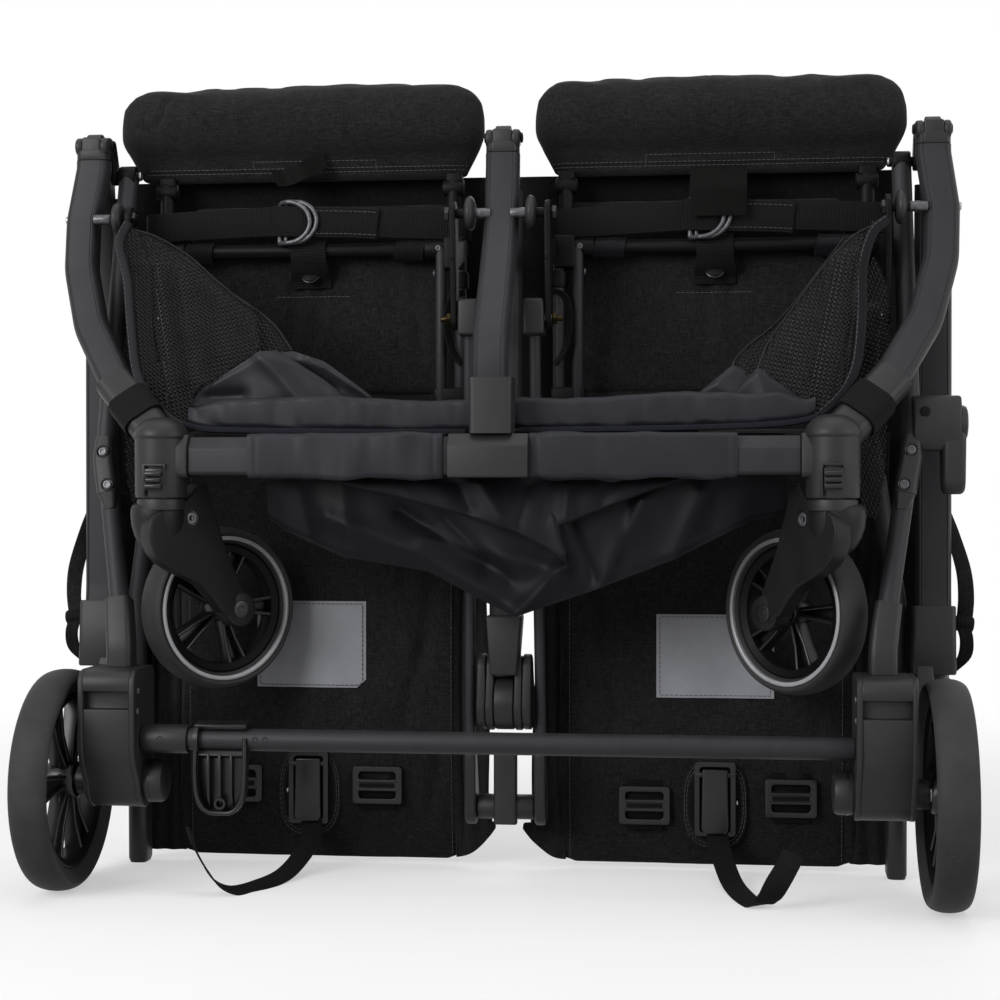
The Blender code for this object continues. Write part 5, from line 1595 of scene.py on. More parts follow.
    def pocket(self, word, side):
        """The stitched oval pocket with its lever buckle."""
        x, z = side * 173, 62 if side < 0 else 58
        piece = Piece(f"buckle_{word}")
        outline = [(27 * math.copysign(abs(math.cos(t)) ** 0.72, math.cos(t)),
                    38 * math.copysign(abs(math.sin(t)) ** 0.72, math.sin(t)))
                   for t in (2 * math.pi * i / 64 for i in range(64))]
        for grow, deep, key in ((1.0, 2.6, "cloth"), (0.8, 3.2, "webbing")):
            piece.slab([(a * grow, b * grow) for a, b in outline], 123.8 - deep, 123.8, key, 1.1,
                       lambda a, b, t: (x + a, t, z + b), 3)
        for grow in (0.94, 0.87):
            piece.stitches([Vector((x + a * grow, 121.0, z + b * grow))
                            for a, b in [*outline, outline[0]]])
        window(piece, 34, 62, ((-13, -28, 13, 27),), 115.6, 120.4, (x, 118, z + 5), "gloss")
        lever = [(-10.6, 25), (10.6, 25), (11.4, -24), (9, -29), (-9, -29), (-11.4, -24)]
        piece.slab(lever, 112.8, 117.4, "gloss", 1.4,
                   lambda a, b, t: (x + a, t + 0.04 * (b - 27), z + 5 + b), 4)
        piece.bar((x - 17, 118, z + 25), (x + 17, 118, z + 25), 2.6, "plastic")
        piece.screw((x + side * 18, 118, z + 2), (side, 0, 0), 2.2, 1.2)
        piece.done("back_frame", (), "moulded_plastic")
        self.tail(word, side, (x, z))

    def tail(self, word, side, spot):
        """The loose end of the harness webbing, down to the floor and curled up."""
        x, z = spot
        if side < 0:
            line = [(x + 2, 117, z - 12), (x + 3, 113, z - 26), (-168, 92, 22), (-178, 56, 6),
                    (-192, 22, 1.9), (-206, -2, 2.2), (-218, -14, 10), (-228, -19, 26), (-236, -20, 42),
                    (-241, -18, 55)]
            turns = (0.05, -0.1, -0.4, -0.7, -0.8, -0.8, -0.95, -1.1, -1.2, -1.25)
        else:
            line = [(x, 117, z - 12), (x + 2, 113, z - 26), (178, 94, 22), (186, 60, 6.5),
                    (195, 24, 2.0), (205, -6, 2.2), (214, -15, 10), (221, -18, 22), (228, -17, 34),
                    (233, -14, 44)]
            turns = (0, 0.1, 0.3, 0.42, 0.5, 0.45, 0.2, -0.2, -0.5, -0.6)
        route = smooth_path(line, 8)

        def across(t):
            place_at = t * (len(turns) - 1)
            low = min(int(place_at), len(turns) - 2)
            turn = turns[low] + (turns[low + 1] - turns[low]) * (place_at - low)
            return (math.cos(turn), math.sin(turn) * 0.75, math.sin(turn) * 0.35)

        piece = Piece(f"strap_tail_{word}")
        piece.sweep(route, round_box(18, 1.3, 0.55, 2), "webbing", across)
        end, before = Vector(route[-1]), Vector(route[-9])
        piece.sweep([before, end], round_box(18.6, 2.4, 0.9, 2), "webbing", across(1))
        piece.done("back_frame", (), "heather_cloth")


def fine(points, parts):
    """The same outline with more points along each run."""
    return [(a + (c - a) * i / parts, b + (d - b) * i / parts)
            for (a, b), (c, d) in zip(points, points[1:]) for i in range(parts)] + [points[-1]]


def window(piece, wide, tall, holes, near, far, middle, key="plastic"):
    """A flat moulded frame with square openings, each hole as (x0, z0, x1, z1) from its middle."""
    xs = sorted({-wide / 2, wide / 2, *(h[0] for h in holes), *(h[2] for h in holes)})
    zs = sorted({-tall / 2, tall / 2, *(h[1] for h in holes), *(h[3] for h in holes)})
    bm = bmesh.new()
    made = {}

    def spot(x, z, y):
        if (x, z, y) not in made:
            made[x, z, y] = bm.verts.new((middle[0] + x, y, middle[2] + z))
        return made[x, z, y]

    def solid(i, j):
        if not (0 <= i < len(xs) - 1 and 0 <= j < len(zs) - 1):
            return False
        x, z = (xs[i] + xs[i + 1]) / 2, (zs[j] + zs[j + 1]) / 2
        return not any(a < x < c and b < z < d for a, b, c, d in holes)

    for i in range(len(xs) - 1):
        for j in range(len(zs) - 1):
            if not solid(i, j):
                continue
            a, b, c, d = (xs[i], zs[j]), (xs[i + 1], zs[j]), (xs[i + 1], zs[j + 1]), (xs[i], zs[j + 1])
            for y in (near, far):
                bm.faces.new([spot(*p, y) for p in (a, b, c, d)])
            for (k, m), (p, q) in (((i, j - 1), (a, b)), ((i + 1, j), (b, c)), ((i, j + 1), (c, d)),
                                   ((i - 1, j), (d, a))):
                if not solid(k, m):
                    bm.faces.new((spot(*p, near), spot(*q, near), spot(*q, far), spot(*p, far)))
    bmesh.ops.recalc_face_normals(bm, faces=bm.faces)
    corners = [e for e in bm.edges
               if abs(e.verts[0].co.y - e.verts[1].co.y) > 0.1 and e.calc_face_angle(0) > 0.6]
    bmesh.ops.bevel(bm, geom=corners, offset=min(4.5, min(wide, tall) * 0.09), segments=4, profile=0.5,
                    affect="EDGES", clamp_overlap=True)
    piece.take(bm, key, 0.7, 3)


class STROLLER_OT_straps(bpy.types.Operator):
    """Builds the belts, rings, snap tabs, cloth wraps, tags and webbing loops"""

    bl_idname = "stroller.straps"
    bl_label = "Straps, rings and tabs"

    def execute(self, context):
        for word, side in SIDES:
            self.belt(word, side)
            self.tab(word, side)
            self.wraps(word, side)
            self.tag(word, side)
            self.leg_loop(word, side)
            self.inner_loop(word, side)
            self.cuff(word, side)
        return {"FINISHED"}

    def belt(self, word, side):
        wide = sizes().web_wide / MM
        piece = Piece(f"seat_belt_{word}")
        line = [(316, 122, 546), (308, 115.5, 546.5), (262, 112.6, 548.5), (200, 111.6, 550.5),
                (150, 111.8, 550), (96, 112.4, 547.5), (46, 115, 545.5), (33, 122, 545)]
        route = smooth_path(mirrored(line, side), 10)
        piece.sweep(route, round_box(wide, 1.5, 0.6, 2), "webbing", (0, 0.03, 1))
        ring_x = side * 181 if side < 0 else side * 168
        over = smooth_path([(ring_x - 22, 111, 551), (ring_x - 8, 107.6, 550), (ring_x + 4, 106, 549.5),
                            (ring_x + 16, 108.4, 549), (ring_x + 44, 109.9, 548.4),
                            (ring_x + 70, 110.2, 547)], 8)
        piece.sweep(over, round_box(wide + 0.6, 1.5, 0.6, 2), "webbing", UP)
        end = over[-1]
        hem = [end + Vector((-1, -0.9, 12.4)), end + Vector((-4.5, -0.9, -12.6))]
        piece.sweep(hem, round_box(4.6, 1.2, 0.5, 2), "webbing", (1, 0, 0.1))
        piece.sweep([(ring_x - 21, 110.4, 563), (ring_x - 20.6, 110.4, 538)], round_box(2.4, 1, 0.4, 2),
                    "webbing", ACROSS)
        piece.stitches([p + Vector((0, -1.1, 9.6)) for p in over[24:]])
        piece.stitches([p + Vector((0, -1.1, -9.6)) for p in over[24:]])
        piece.done("seat_frame", (), "heather_cloth")
        rings = Piece(f"d_rings_{word}")
        for number, (shift, lean) in enumerate(((0, 0.0), (5.4, 0.12))):
            loop = []
            for step in range(25):
                angle = math.radians(-90 + 180 * step / 24)
                loop.append((ring_x + shift - 8 + 20 * math.cos(angle) + lean * 10 * math.sin(angle),
                             106 + 1.6 * number - 1.6 * math.cos(angle), 549 + 17.4 * math.sin(angle)))
            back = (ring_x + shift - 16, 113.4, 549)
            loop = [(back[0], back[1], 549 - 16.8), *loop, (back[0], back[1], 549 + 16.8),
                    (back[0], back[1], 549), (back[0], back[1], 549 - 16.8)]
            rings.sweep(rounded(loop, 6, 4), circle(2.0, 12), "lacquer")
        rings.done("seat_frame", (), "steel")

    def tab(self, word, side):
        y, z = SEAT_TUBE
        x = side * 172.5
        piece = Piece(f"snap_tab_{word}")
        front = [(x, y + 2, z + 10), (x, y - 5.0, z + 6), (x, y - 7.6, z), (x + 0.4, y - 6.8, z - 7),
                 (x + 0.6, y - 0.5, z - 17), (x, y + 8.0, z - 24), (x, y + 10.4, z - 31)]
        piece.sweep(smooth_path(front, 6), round_box(31, 1.5, 0.6, 2), "webbing", ACROSS,
                    lambda t: (1 + 0.12 * ramp(t, 0.55, 0.8), 1))
        piece.dome((x, y + 3.6, z - 20.4), (0, -1, 0.55), 6.8, 2.6, "black", 0.8)
        piece.lathe([(6.8, 0), (7.8, 0), (8, 0.7), (7.3, 1.1), (6.6, 0.9)], (x, y + 4.0, z - 20.4),
                    (0, -1, 0.55), "gloss", 32)
        piece.done("seat_frame", (), "heather_cloth")

    def wraps(self, word, side):
        y, z = SEAT_TUBE
        # The right wraps take the darker twill: painted shade.
        key = "webbing" if side < 0 else "satin_shaded"
        piece = Piece(f"tube_wraps_{word}")
        for a, b in ((72, 98), (256, 281)):
            low = span(side, a, b)[0]
            tape = [(6.4, 0), (7.9, 0.4), (7.6, 6), (8.1, (b - a) * 0.5), (7.5, b - a - 5),
                    (8.0, b - a - 0.4), (6.4, b - a)]
            rows = []
            for radius, along in tape:
                row = []
                for step in range(40):
                    angle = 2 * math.pi * step / 40
                    swell_out = 1 + 0.05 * wave(along, angle * 6, 0, 8, a)
                    if radius < 7:
                        swell_out = 1
                    low_point = 1 + 0.28 * max(0, -math.sin(angle)) ** 3 * (radius > 7)
                    row.append((low + along + 1.5 * math.sin(angle),
                                y + radius * swell_out * math.cos(angle),
                                z + radius * swell_out * low_point * math.sin(angle)))
                rows.append(row)
            piece.grid(rows, key, closed_rows=True)
        piece.done("seat_frame", (), "basket_satin" if side > 0 else "heather_cloth")

    def tag(self, word, side):
        piece = Piece(f"plain_tag_{word}")
        if side > 0:
            def face(u, v):
                curl = 2.4 * math.sin(math.pi * u) + 1.5 * v
                return Vector((151.5 + 47 * u + 0.8 * v,
                               100.5 + 10 * ramp(v, 0.5, 1) - curl * 0.5, 548 + 43 * v))
        else:
            def face(u, v):
                x, z = (u - 0.5) * 45, (v - 0.5) * 15
                lean = math.radians(22)
                return Vector((-179 + x * math.cos(lean) - z * math.sin(lean),
                               104.6 + 5 * u + 2.5 * math.sin(2.6 * math.pi * u),
                               591 + x * math.sin(lean) + z * math.cos(lean) + (4 * u - 2) ** 2))
        cloth(piece, 24, 24, face, "tag", 0.35)
        piece.done(f"leg_rest_{word}", (), "basket_satin")

    def leg_loop(self, word, side):
        """The short sleeve at the foot of a leg, and the webbing loop round it."""
        across = (Vector(ACROSS) - LEG_ALONG * LEG_ALONG.x).normalized()
        piece = Piece(f"leg_sleeve_{word}")
        route = [LEG_END - LEG_ALONG * t for t in (40, 38.6, 16, 8)]
        piece.sweep(mirrored(route, side), round_box(31.6, 23.4, 8.6), "plastic", ACROSS)
        rows = []
        for reach in (-13.6, -13, -6, 0, 6, 13, 13.6):
            grow = 0.94 if abs(reach) > 13.3 else 1 + 0.012 * math.cos(reach)
            line = []
            for a, b in round_box(35, 27, 9.6, 6):
                spread = (across * a + LEG_ALONG.cross(across) * b) * grow
                point = LEG_END - LEG_ALONG * (4 - reach) + spread
                line.append((side * point.x, point.y, point.z))
            rows.append(line)
        piece.grid(rows, "webbing", closed_rows=True, caps=True)
        piece.done("front_frame", (), "moulded_plastic")

    def inner_loop(self, word, side):
        """The squared guide on the inner rod with its nut, and the cord loop that hangs beside it."""
        piece = Piece(f"rod_guide_{word}")
        low, high = span(side, 18, 35.4)
        piece.block((low, 50, 447), (high, 71, 477), "plastic", 2.8, 4)
        piece.pin(side * 34, side * 41.6, BACK_PIVOT, 3.2, "steel")
        piece.lathe([(5, 0), (5.2, 0.6), (5.2, 3), (4.8, 3.6), (2.4, 3.8), (2.4, 8), (2, 8.6),
                     (0, 8.6)], (side * 41.4, *BACK_PIVOT), (side, 0, 0), "brass", 24, (0, 1, 2, 3))
        piece.done("back_frame", (), "moulded_plastic")
        loop = Piece(f"hanging_loop_{word}")
        line = [(38, 112, 489), (47, 110, 484), (51.5, 108, 470), (51, 108, 452), (46, 109, 436),
                (39, 111, 427)]
        loop.sweep(smooth_path(mirrored(line, side), 8), round_box(7.5, 1.6, 0.6, 2), "webbing",
                   (0.7 * side, -0.7, 0.1))
        loop.done("seat_frame", (), "heather_cloth")

    def cuff(self, word, side):
        piece = Piece(f"side_strap_{word}")
        x = side * 350
        web = smooth_path([(x + side * 11, 112, 302), (x + side * 17, 110, 284),
                           (x + side * 25, 108, 256), (x + side * 27, 107, 234),
                           (x + side * 25.5, 106, 214)], 8)
        piece.sweep(web, round_box(13, 1.8, 0.7, 2), "cloth", lambda t: (1, 0.9 - 1.2 * t, 0.2))
        piece.done("handle_frame", (), "heather_cloth")


class STROLLER_OT_side_cloth(bpy.types.Operator):
    """Builds the folded side cloths of the seats and the folded canopies"""

    bl_idname = "stroller.side_cloth"
    bl_label = "Side cloths and canopies"

    def execute(self, context):
        for number, (word, side) in enumerate(SIDES):
            self.flanks(word, side, number)
            self.curtain(word, side, number)
            self.gussets(word, side, number)
            self.canopy(word, side, number)
        return {"FINISHED"}

    def flanks(self, word, side, number):
        """The loose cloth that hangs in folds on both sides of a backrest."""
        def outer(u, v):
            turns = 2.2 * u + 0.25 * math.sin(3 * v + number)
            fold = 3.2 * math.sin(2 * math.pi * turns) * (0.4 + 0.6 * v)
            x = 285 + 33 * u - 3 * math.sin(math.pi * v) * u
            return Vector((side * x, 132 + fold + 1.2 * wave(x, 0, v * 360, 50, number), 8 + 362 * v))

        def inner(u, v):
            low = 1 - ramp(v, 0, 0.1)
            turns = 1.6 * u + 0.3 * math.sin(4 * v + 2 * number)
            fold = 3.0 * math.sin(2 * math.pi * turns) * (0.4 + 0.6 * (1 - low))
            x = 47 - (26 + 8 * low + 3 * math.sin(5 * v + number)) * u
            ruffle = 1.5 * wave(x, 0, v * 360, 40, 3 + number)
            return Vector((side * x, 131 + fold - 3 * low * u + ruffle,
                           7 + 363 * v + 26 * u * u * low))

        for name, face, way in (("outer", outer, side), ("inner", inner, -side)):
            piece = Piece(f"back_flank_{name}_{word}")
            cloth(piece, 26, 90, face, "cloth", way)
            thing = piece.done("back_frame", (), "heather_cloth")
            declare_sheet(thing, face, "stretched", f"back_pad_{word}")

    def curtain(self, word, side, number):
        """The side cloth sewn behind the backrest's edge, seen inside a handle tube; its dark cloth is
        painted shade.
        """
        def face(u, v):
            x = 276 + 76 * u
            return Vector((side * x, 141 + 1.6 * wave(x, 0, v * 340, 30, 21 + number), 62 + 338 * v))

        piece = Piece(f"side_curtain_{word}")
        cloth(piece, 16, 80, face, "cloth_dark", -side)
        thing = piece.done("back_frame", (), "heather_cloth")
        declare_sheet(thing, face, "hung", f"back_pad_{word}")

    def gussets(self, word, side, number):
        """The seat's base cloth, seen beside and above the cushion; its dark cloth is painted shade."""
        def base(u, v):
            x = (3 if side > 0 else 15) + 330 * u
            sag = 2.0 * wave(x, 0, v * 190, 60, 5 + number) + 0.8 * wave(x, 0, v * 190, 18, 6 + number)
            return Vector((side * x, 147.5 + sag, 376 + 214 * v))

        piece = Piece(f"seat_base_cloth_{word}")
        cloth(piece, 90, 56, base, "cloth_dark", -side)
        for hem in ([(i / 60, 0.985) for i in range(61)], [(0.99, i / 40) for i in range(41)],
                    [(0.01, i / 40) for i in range(41)]):
            piece.sweep([base(u, v) + Vector((0, 0.5, 0)) for u, v in hem], round_box(2.4, 8, 0.8, 2),
                        "tape", (0, 1, 0))
        thing = piece.done("seat_frame", (), "heather_cloth")
        declare_sheet(thing, base, "stretched", f"seat_pad_{word}")

    def canopy(self, word, side, number):
        """A canopy folded flat against the backrest: one sheet in shallow pleats."""
        y, pleats = CANOPY_PIVOT[0], 7

        def face(u, v):
            x = 52 + 264 * u
            low = 66 + 24 * (2 * u - 1) ** 4
            height = low + (292 - low) * v
            fold = 5.2 * math.sin(2 * math.pi * pleats * v) * (0.25 + 0.75 * math.sin(math.pi * v))
            crown = 3.6 * math.sin(math.pi * u)
            ruffle = 0.9 * wave(x, 0, height, 42, number)
            return Vector((side * x, 160.5 + fold * 0.55 + crown - 2 + ruffle, height))

        piece = Piece(f"canopy_sheet_{word}")
        cloth(piece, 66, 120, face, "cloth", -side)
        rim = [face(i / 40, 0.0) + Vector((0, 0.2, -0.6)) for i in range(41)]
        piece.sweep(rim, round_box(7, 2.4, 1.1, 3), "tape", UP)
        thing = piece.done(None, (f"canopy_cloth_{word}",), "heather_cloth")
        place(side * 184, y, 306)
        place(side * 184, y, 150)
        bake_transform(thing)
        declare_sheet(thing, face, "folded", f"canopy_bow_tube_{word}")


def declare_sheet(thing, face, held, *rests):
    """Measures the cloth that a sheet was cut from along its own two ways; the sizes are not kept."""
    def reach(points):
        return sum((b - a).length for a, b in zip(points, points[1:])) * MM

    wide = max(reach([face(i / 60, v) for i in range(61)]) for v in (0.2, 0.5, 0.8))
    long = max(reach([face(u, j / 160) for j in range(161)]) for u in (0.2, 0.5, 0.8))


# The basket between the front legs: mesh wings, a satin roll, and the cloth that hangs in a point.

GORE_FOOT, DRAPE_TOP, FOLD_TOP = 380, 366, 368  # heights where each cloth leaves the roll
DRAPE_FROM, DRAPE_WIDE = -186, 414

OUTER_EDGE = {
    "left": [(-304, 32, 540), (-310, 28, 522), (-302, 23, 492), (-297, 17, 454), (-290, 10, 416),
             (-277, 7, 394), (-261, 4, 379), (-240, 0, 371.5), (-214, -2.5, 369),
             (-120, -3.5, 367.5), (-60, -3.5, 367), (-21, -3, 367)],
    "right": [(307, 31, 533), (295, 28, 522), (287, 24, 495), (285.5, 17, 456), (282, 11, 422),
              (274, 8, 401), (261, 4, 386), (243, 0, 375.5), (200, -2.5, 371), (120, -3.5, 369),
              (60, -3.5, 368.5), (21, -3, 368)],
}
FOLD_EDGE = {
    "left": [(-298, 534), (-280, 528), (-254, 513), (-228, 491), (-208, 475), (-195, 467), (-190, 434),
             (-216, 417), (-240, 403), (-247, 380)],
    "right": [(299, 530), (279, 519), (255, 493), (232, 462), (214, 436), (206, 416), (228, 402),
              (241, 393), (248, 382)],
}
BACK_NET = {
    "left": [(-300, 536), (-270, 520), (-228, 489), (-196, 467), (-179, 453), (-165, 434), (-190, 424),
             (-240, 396), (-280, 402), (-296, 455), (-304, 505)],
    "right": [(303, 532), (274, 520), (226, 458), (196, 432), (188, 417), (214, 404), (250, 392),
              (276, 404), (284, 455), (288, 500)],
}


def inside(x, z, edge):
    """Whether a point lies inside a closed outline."""
    found = False
    for (a, b), (c, d) in zip(edge, [*edge[1:], edge[0]]):
        if (b > z) != (d > z) and x < (c - a) * (z - b) / (d - b) + a:
            found = not found
    return found


def area_of(edge):
    return abs(sum(a * d - c * b for (a, b), (c, d) in zip(edge, [*edge[1:], edge[0]]))) / 2


def net(piece, edge, depth_of, lean, pitch, hole=0.5):
    """Knits an open mesh inside the outline: a small frame of yarn round each hole."""
    turn = Matrix.Rotation(math.radians(lean), 2)
    back = turn.inverted()
    flat = [back @ Vector(p) for p in edge]
    i0, i1 = int(min(p.x for p in flat) / pitch) - 1, int(max(p.x for p in flat) / pitch) + 1
    j0, j1 = int(min(p.y for p in flat) / pitch) - 1, int(max(p.y for p in flat) / pitch) + 1
    bm = bmesh.new()
    knots = {}

    def knot(i, j):
        if (i, j) not in knots:
            spot = turn @ Vector((i * pitch, j * pitch))
            weave = 0.3 if (i + j) % 2 else -0.3
            knots[i, j] = bm.verts.new((spot.x, depth_of(spot.x, spot.y) + weave, spot.y))
        return knots[i, j]

    for i in range(i0, i1):
        for j in range(j0, j1):
            middle = turn @ Vector(((i + 0.5) * pitch, (j + 0.5) * pitch))
            if not inside(middle.x, middle.y, edge):
                continue
            outer = [knot(i, j), knot(i + 1, j), knot(i + 1, j + 1), knot(i, j + 1)]
            centre = sum((v.co for v in outer), Vector()) / 4
            inner = [bm.verts.new(centre + (v.co - centre) * hole + Vector((0, 0.45, 0)))
                     for v in outer]
            for k in range(4):
                m = (k + 1) % 4
                bm.faces.new((outer[k], outer[m], inner[m], inner[k]))
    piece.take(bm, "mesh")


def flat_to(route):
    """Keeps a band's width in the plane of the cloth that it edges."""
    points = [Vector(p) for p in route]

    def across(t):
        index = min(int(t * (len(points) - 1) + 0.5), len(points) - 1)
        along = points[min(index + 1, len(points) - 1)] - points[max(index - 1, 0)]
        return along.cross(Vector((0, 1, 0)))

    return across


def height_at(line, x):
    """The height of a line of (x, z) points at x."""
    for (a, b), (c, d) in zip(line, line[1:]):
        if a <= x <= c:
            return b + (d - b) * (x - a) / max(c - a, 1e-6)
    return line[0][1] if x < line[0][0] else line[-1][1]


def relief(x, z, ridges):
    """How far folds along (x, z) lines bring the cloth forward, each as (line, height, width)."""
    total = 0.0
    for line, height, wide in ridges:
        spots = [Vector(p) for p in line]
        near = min(gap_to(Vector((x, z)), a, b) for a, b in zip(spots, spots[1:]))
        total += height * math.exp(-((near / wide) ** 1.6))
    return total


def wing_depth(x, z):
    crease = relief(abs(x), z, (([(284, 505), (268, 400)], 4.0, 6), ([(262, 500), (246, 410)], 3.0, 7),
                                ([(228, 480), (226, 430)], 2.0, 8)))
    return 6 + (z - 390) * 0.17 - crease + 1.6 * wave(x, 0, z, 26, 4)


class STROLLER_OT_basket(bpy.types.Operator):
    """Builds the collapsed shopping basket: mesh wings, bindings, satin folds and crossbar sleeves"""

    bl_idname = "stroller.basket"
    bl_label = "Basket"

    def execute(self, context):
        for word, side in SIDES:
            self.wings(word, side)
            self.binding(word)
            self.pouch(word, side)
            self.band(word, side)
            self.sleeve(word, side)
        self.drape()
        self.front_fold()
        return {"FINISHED"}

    def wings(self, word, side):
        pitch = sizes().mesh_hole / MM
        edge = [(x, z) for x, _, z in OUTER_EDGE[word][:8]] + list(reversed(FOLD_EDGE[word]))
        piece = Piece(f"basket_net_{word}")
        strip = [(x, z) for x, _, z in OUTER_EDGE[word][:7]] + [(side * 262, 392), (side * 276, 440),
                                                                (side * 281, 500), (side * 296, 533)]
        net(piece, strip, lambda x, z: wing_depth(x, z) - 1.2, -side * 52, pitch)
        net(piece, edge, wing_depth, side * 33, pitch)
        rim = [(x, wing_depth(x, z) - 0.4, z) for x, z in FOLD_EDGE[word][:6]]
        piece.sweep(smooth_path(rim, 5), circle(0.8, 8), "mesh")
        thing = piece.done("front_frame", (f"basket_wing_{word}",))
        flat = (area_of(edge) + area_of(strip)) * MM * MM
        rear = Piece(f"basket_net_back_{word}")
        net(rear, BACK_NET[word], lambda x, z: wing_depth(x * 0.97, z) + 7, side * 12, pitch * 1.06)
        gusset = [(side * x, z) for x, z in ((296, 506), (308, 482), (308, 440), (309, 400), (307, 345),
                                             (299, 300), (288, 300), (286, 335), (283, 400),
                                             (284, 456))]
        net(rear, gusset, lambda x, z: 33 + 0.06 * (z - 400) + 1.5 * wave(x, 0, z, 20, 2), side * 24,
            pitch)
        rim = [(x, wing_depth(x * 0.97, z) + 6.6, z) for x, z in BACK_NET[word][1:6]]
        rear.sweep(smooth_path(rim, 5), circle(0.8, 8), "mesh")
        thing = rear.done("front_frame")
        flat = (area_of(BACK_NET[word]) + area_of(gusset)) * MM * MM

    def binding(self, word):
        route = smooth_path(OUTER_EDGE[word], 8)
        route = [p + Vector((0, -1.5, 0)) for p in route]
        piece = Piece(f"basket_binding_{word}")
        # The binding takes the darker twill: painted shade.
        piece.sweep(route, round_box(8.2, 3.4, 1.5, 3), "satin_shaded", flat_to(route),
                    lambda t: (1 - 0.42 * ramp(t, 0.5, 0.62), 1))
        taped = len(route) * 6 // 10
        low = [Vector((x, y - 3.2, z)) + Vector((0, 0, 0.2)) for x, y, z in route[taped:]]
        piece.sweep(low, round_box(4.0, 1.2, 0.5, 2), "tape", flat_to(low))
        seam = [p + flat_to(route)(i / (len(route) - 1)).normalized() * -2.6
                for i, p in enumerate(route)][:taped]
        piece.stitches(seam, off=(0, -1.9, 0))
        piece.done("front_frame", (), "basket_satin")

    def pouch(self, word, side):
        """The satin gore that shows above the roll, in one or two folds."""
        if side < 0:
            tops = (([(-247, 386), (-240, 402), (-216, 416), (-189, 432.5), (-176, 433), (-160, 424),
                      (-138, 410), (-120, 396), (-112, 386)], 9,
                     (([(-232, 396), (-206, 397)], -7, 7),
                      ([(-190, 430), (-165, 405), (-150, 388)], 5, 7))),
                    ([(-196, 386), (-190, 430), (-164, 433), (-138, 424.5), (-116, 409), (-104, 400),
                      (-90, 388)], 14,
                     (([(-160, 420), (-130, 404)], -4, 6), ([(-150, 428), (-100, 396)], 4, 5))))
        else:
            tops = (([(178, 386), (206, 417), (222, 407), (238, 396), (247, 384)], 9,
                     (([(206, 414), (214, 386)], 3, 8),)),
                    ([(146, 386), (187, 419.5), (200, 412), (212, 386)], 14,
                     (([(176, 404), (196, 388)], 3, 7),)))
        for number, (top, depth, ridges) in enumerate(tops):
            x0, x1 = top[0][0], top[-1][0]

            def face(u, v, top=top, depth=depth, ridges=ridges, x0=x0, x1=x1):
                x = x0 + (x1 - x0) * u
                high = height_at(top, x)
                z = GORE_FOOT + (high - GORE_FOOT) * v
                lip = 2.5 * ramp(v, 0.86, 1)
                return Vector((x, depth + lip - relief(x, z, ridges) + 1.4 * wave(x, 0, z, 17, 3), z))

            piece = Piece(f"basket_gore_{word}_{number + 1}")
            cloth(piece, 60, 26, face, "satin", 0.9)
            thing = piece.done("front_frame")
            spots = [face(i / 30, 0).x for i in range(31)]
            flat = sum((b - a) * (height_at(top, a) - GORE_FOOT) for a, b in zip(spots, spots[1:]))

    def band(self, word, side):
        """The soft roll of satin behind the crossbar."""
        piece = Piece(f"basket_band_{word}")
        first, last = (15, 246) if side < 0 else (15, 250)
        rows = []
        for step in range(121):
            t = step / 120
            x = first + (last - first) * t
            end = ramp(t, 0.86, 1)
            tall, deep = 27 - 12 * end - 2 * math.sin(9 * t) * (1 - end), 13 - 5 * end
            edge = sorted((side * a, b, c) for a, b, c in OUTER_EDGE[word])
            low = height_at([(p[0], p[2]) for p in edge], x)
            middle = low + tall / 2 + 0.6
            dip = 1.0 - 0.06 * ramp(1 - t, 0.9, 1)
            row = []
            for a, b in round_box(tall, deep, 5.6, 6):
                slant = x + 1.3 * a * side
                fold = 2.6 * wave(slant / 2.4, a * 0.3, b, 12, 5 + side)
                fold += 0.9 * wave(slant, a, b, 11, 15 + side)
                sag = -1.2 * math.sin(math.pi * t) * (a > 0)
                row.append((side * x, 4.5 + b * dip - abs(fold) * (1 if b < 0 else 0.2) + 3 * end,
                            middle + a * dip + sag + 0.5 * fold))
            rows.append(row)
        piece.grid(rows, "satin", closed_rows=True, caps=True)
        piece.done("front_frame", (), "basket_satin")

    def sleeve(self, word, side):
        """The cloth sleeve round the crossbar, drawn in slanting creases."""
        piece = Piece(f"crossbar_sleeve_{word}")
        first, last = (36, 190) if side < 0 else (30, 190)
        rows = []
        count = 110
        for step in range(count + 1):
            t = step / count
            x = first + (last - first) * t
            edge = min(t, 1 - t) * (last - first)
            hem = 0.9 * math.exp(-((edge - 7) / 1.4) ** 2)
            close = 1 - 0.035 * math.exp(-((edge / 1.2) ** 2))
            row = []
            for a, b in round_box(24.6, 34.4, 4.2, 6):
                slant = x * 0.62 + b * 0.9 + (30 if side > 0 else 0)
                crease = 3.0 * max(0, wave(slant, a * 0.4, 0, 24, 6 + side))
                crease += 1.3 * max(0, wave(slant * 1.5, a, 4, 14, 9 + side))
                grow = 1 + (crease * min(1, edge / 16) - hem * 0.5) / 15
                row.append((side * x, -19 + a * close * grow, 348.3 + b * close * (1 + (grow - 1) * 0.6)
                            - 0.6 * crease * (b < 0)))
            rows.append(row)
        piece.grid(rows, "satin", closed_rows=True, caps=True)
        piece.done("front_frame", (), "basket_satin")

    def drape(self):
        """The bottom of the basket, hanging to a point behind the crossbar, in the darker twill:
        painted shade.
        """
        low = [(-186, 298), (-172, 289), (-121, 268), (-53, 257), (-5, 232), (18, 222), (74, 241),
               (141, 267), (202, 298), (228, 302)]
        ridges = (
            ([(-132, 300), (-60, 272), (19, 226)], 7, 10), ([(56, 262), (19, 224)], 9, 7),
            ([(-53, 284), (52, 258)], 6, 9), ([(116, 312), (84, 246)], 6, 9),
            ([(162, 318), (141, 270)], 5, 9), ([(60, 296), (78, 252)], -4, 6),
            ([(-76, 306), (-8, 262)], -8, 8), ([(-40, 300), (12, 250)], -5, 7),
            ([(-121, 326), (-112, 272)], 4, 9), ([(-160, 330), (-150, 284)], -4, 10),
            ([(180, 330), (170, 290)], -4, 10), ([(108, 320), (100, 262)], -4, 8),
        )

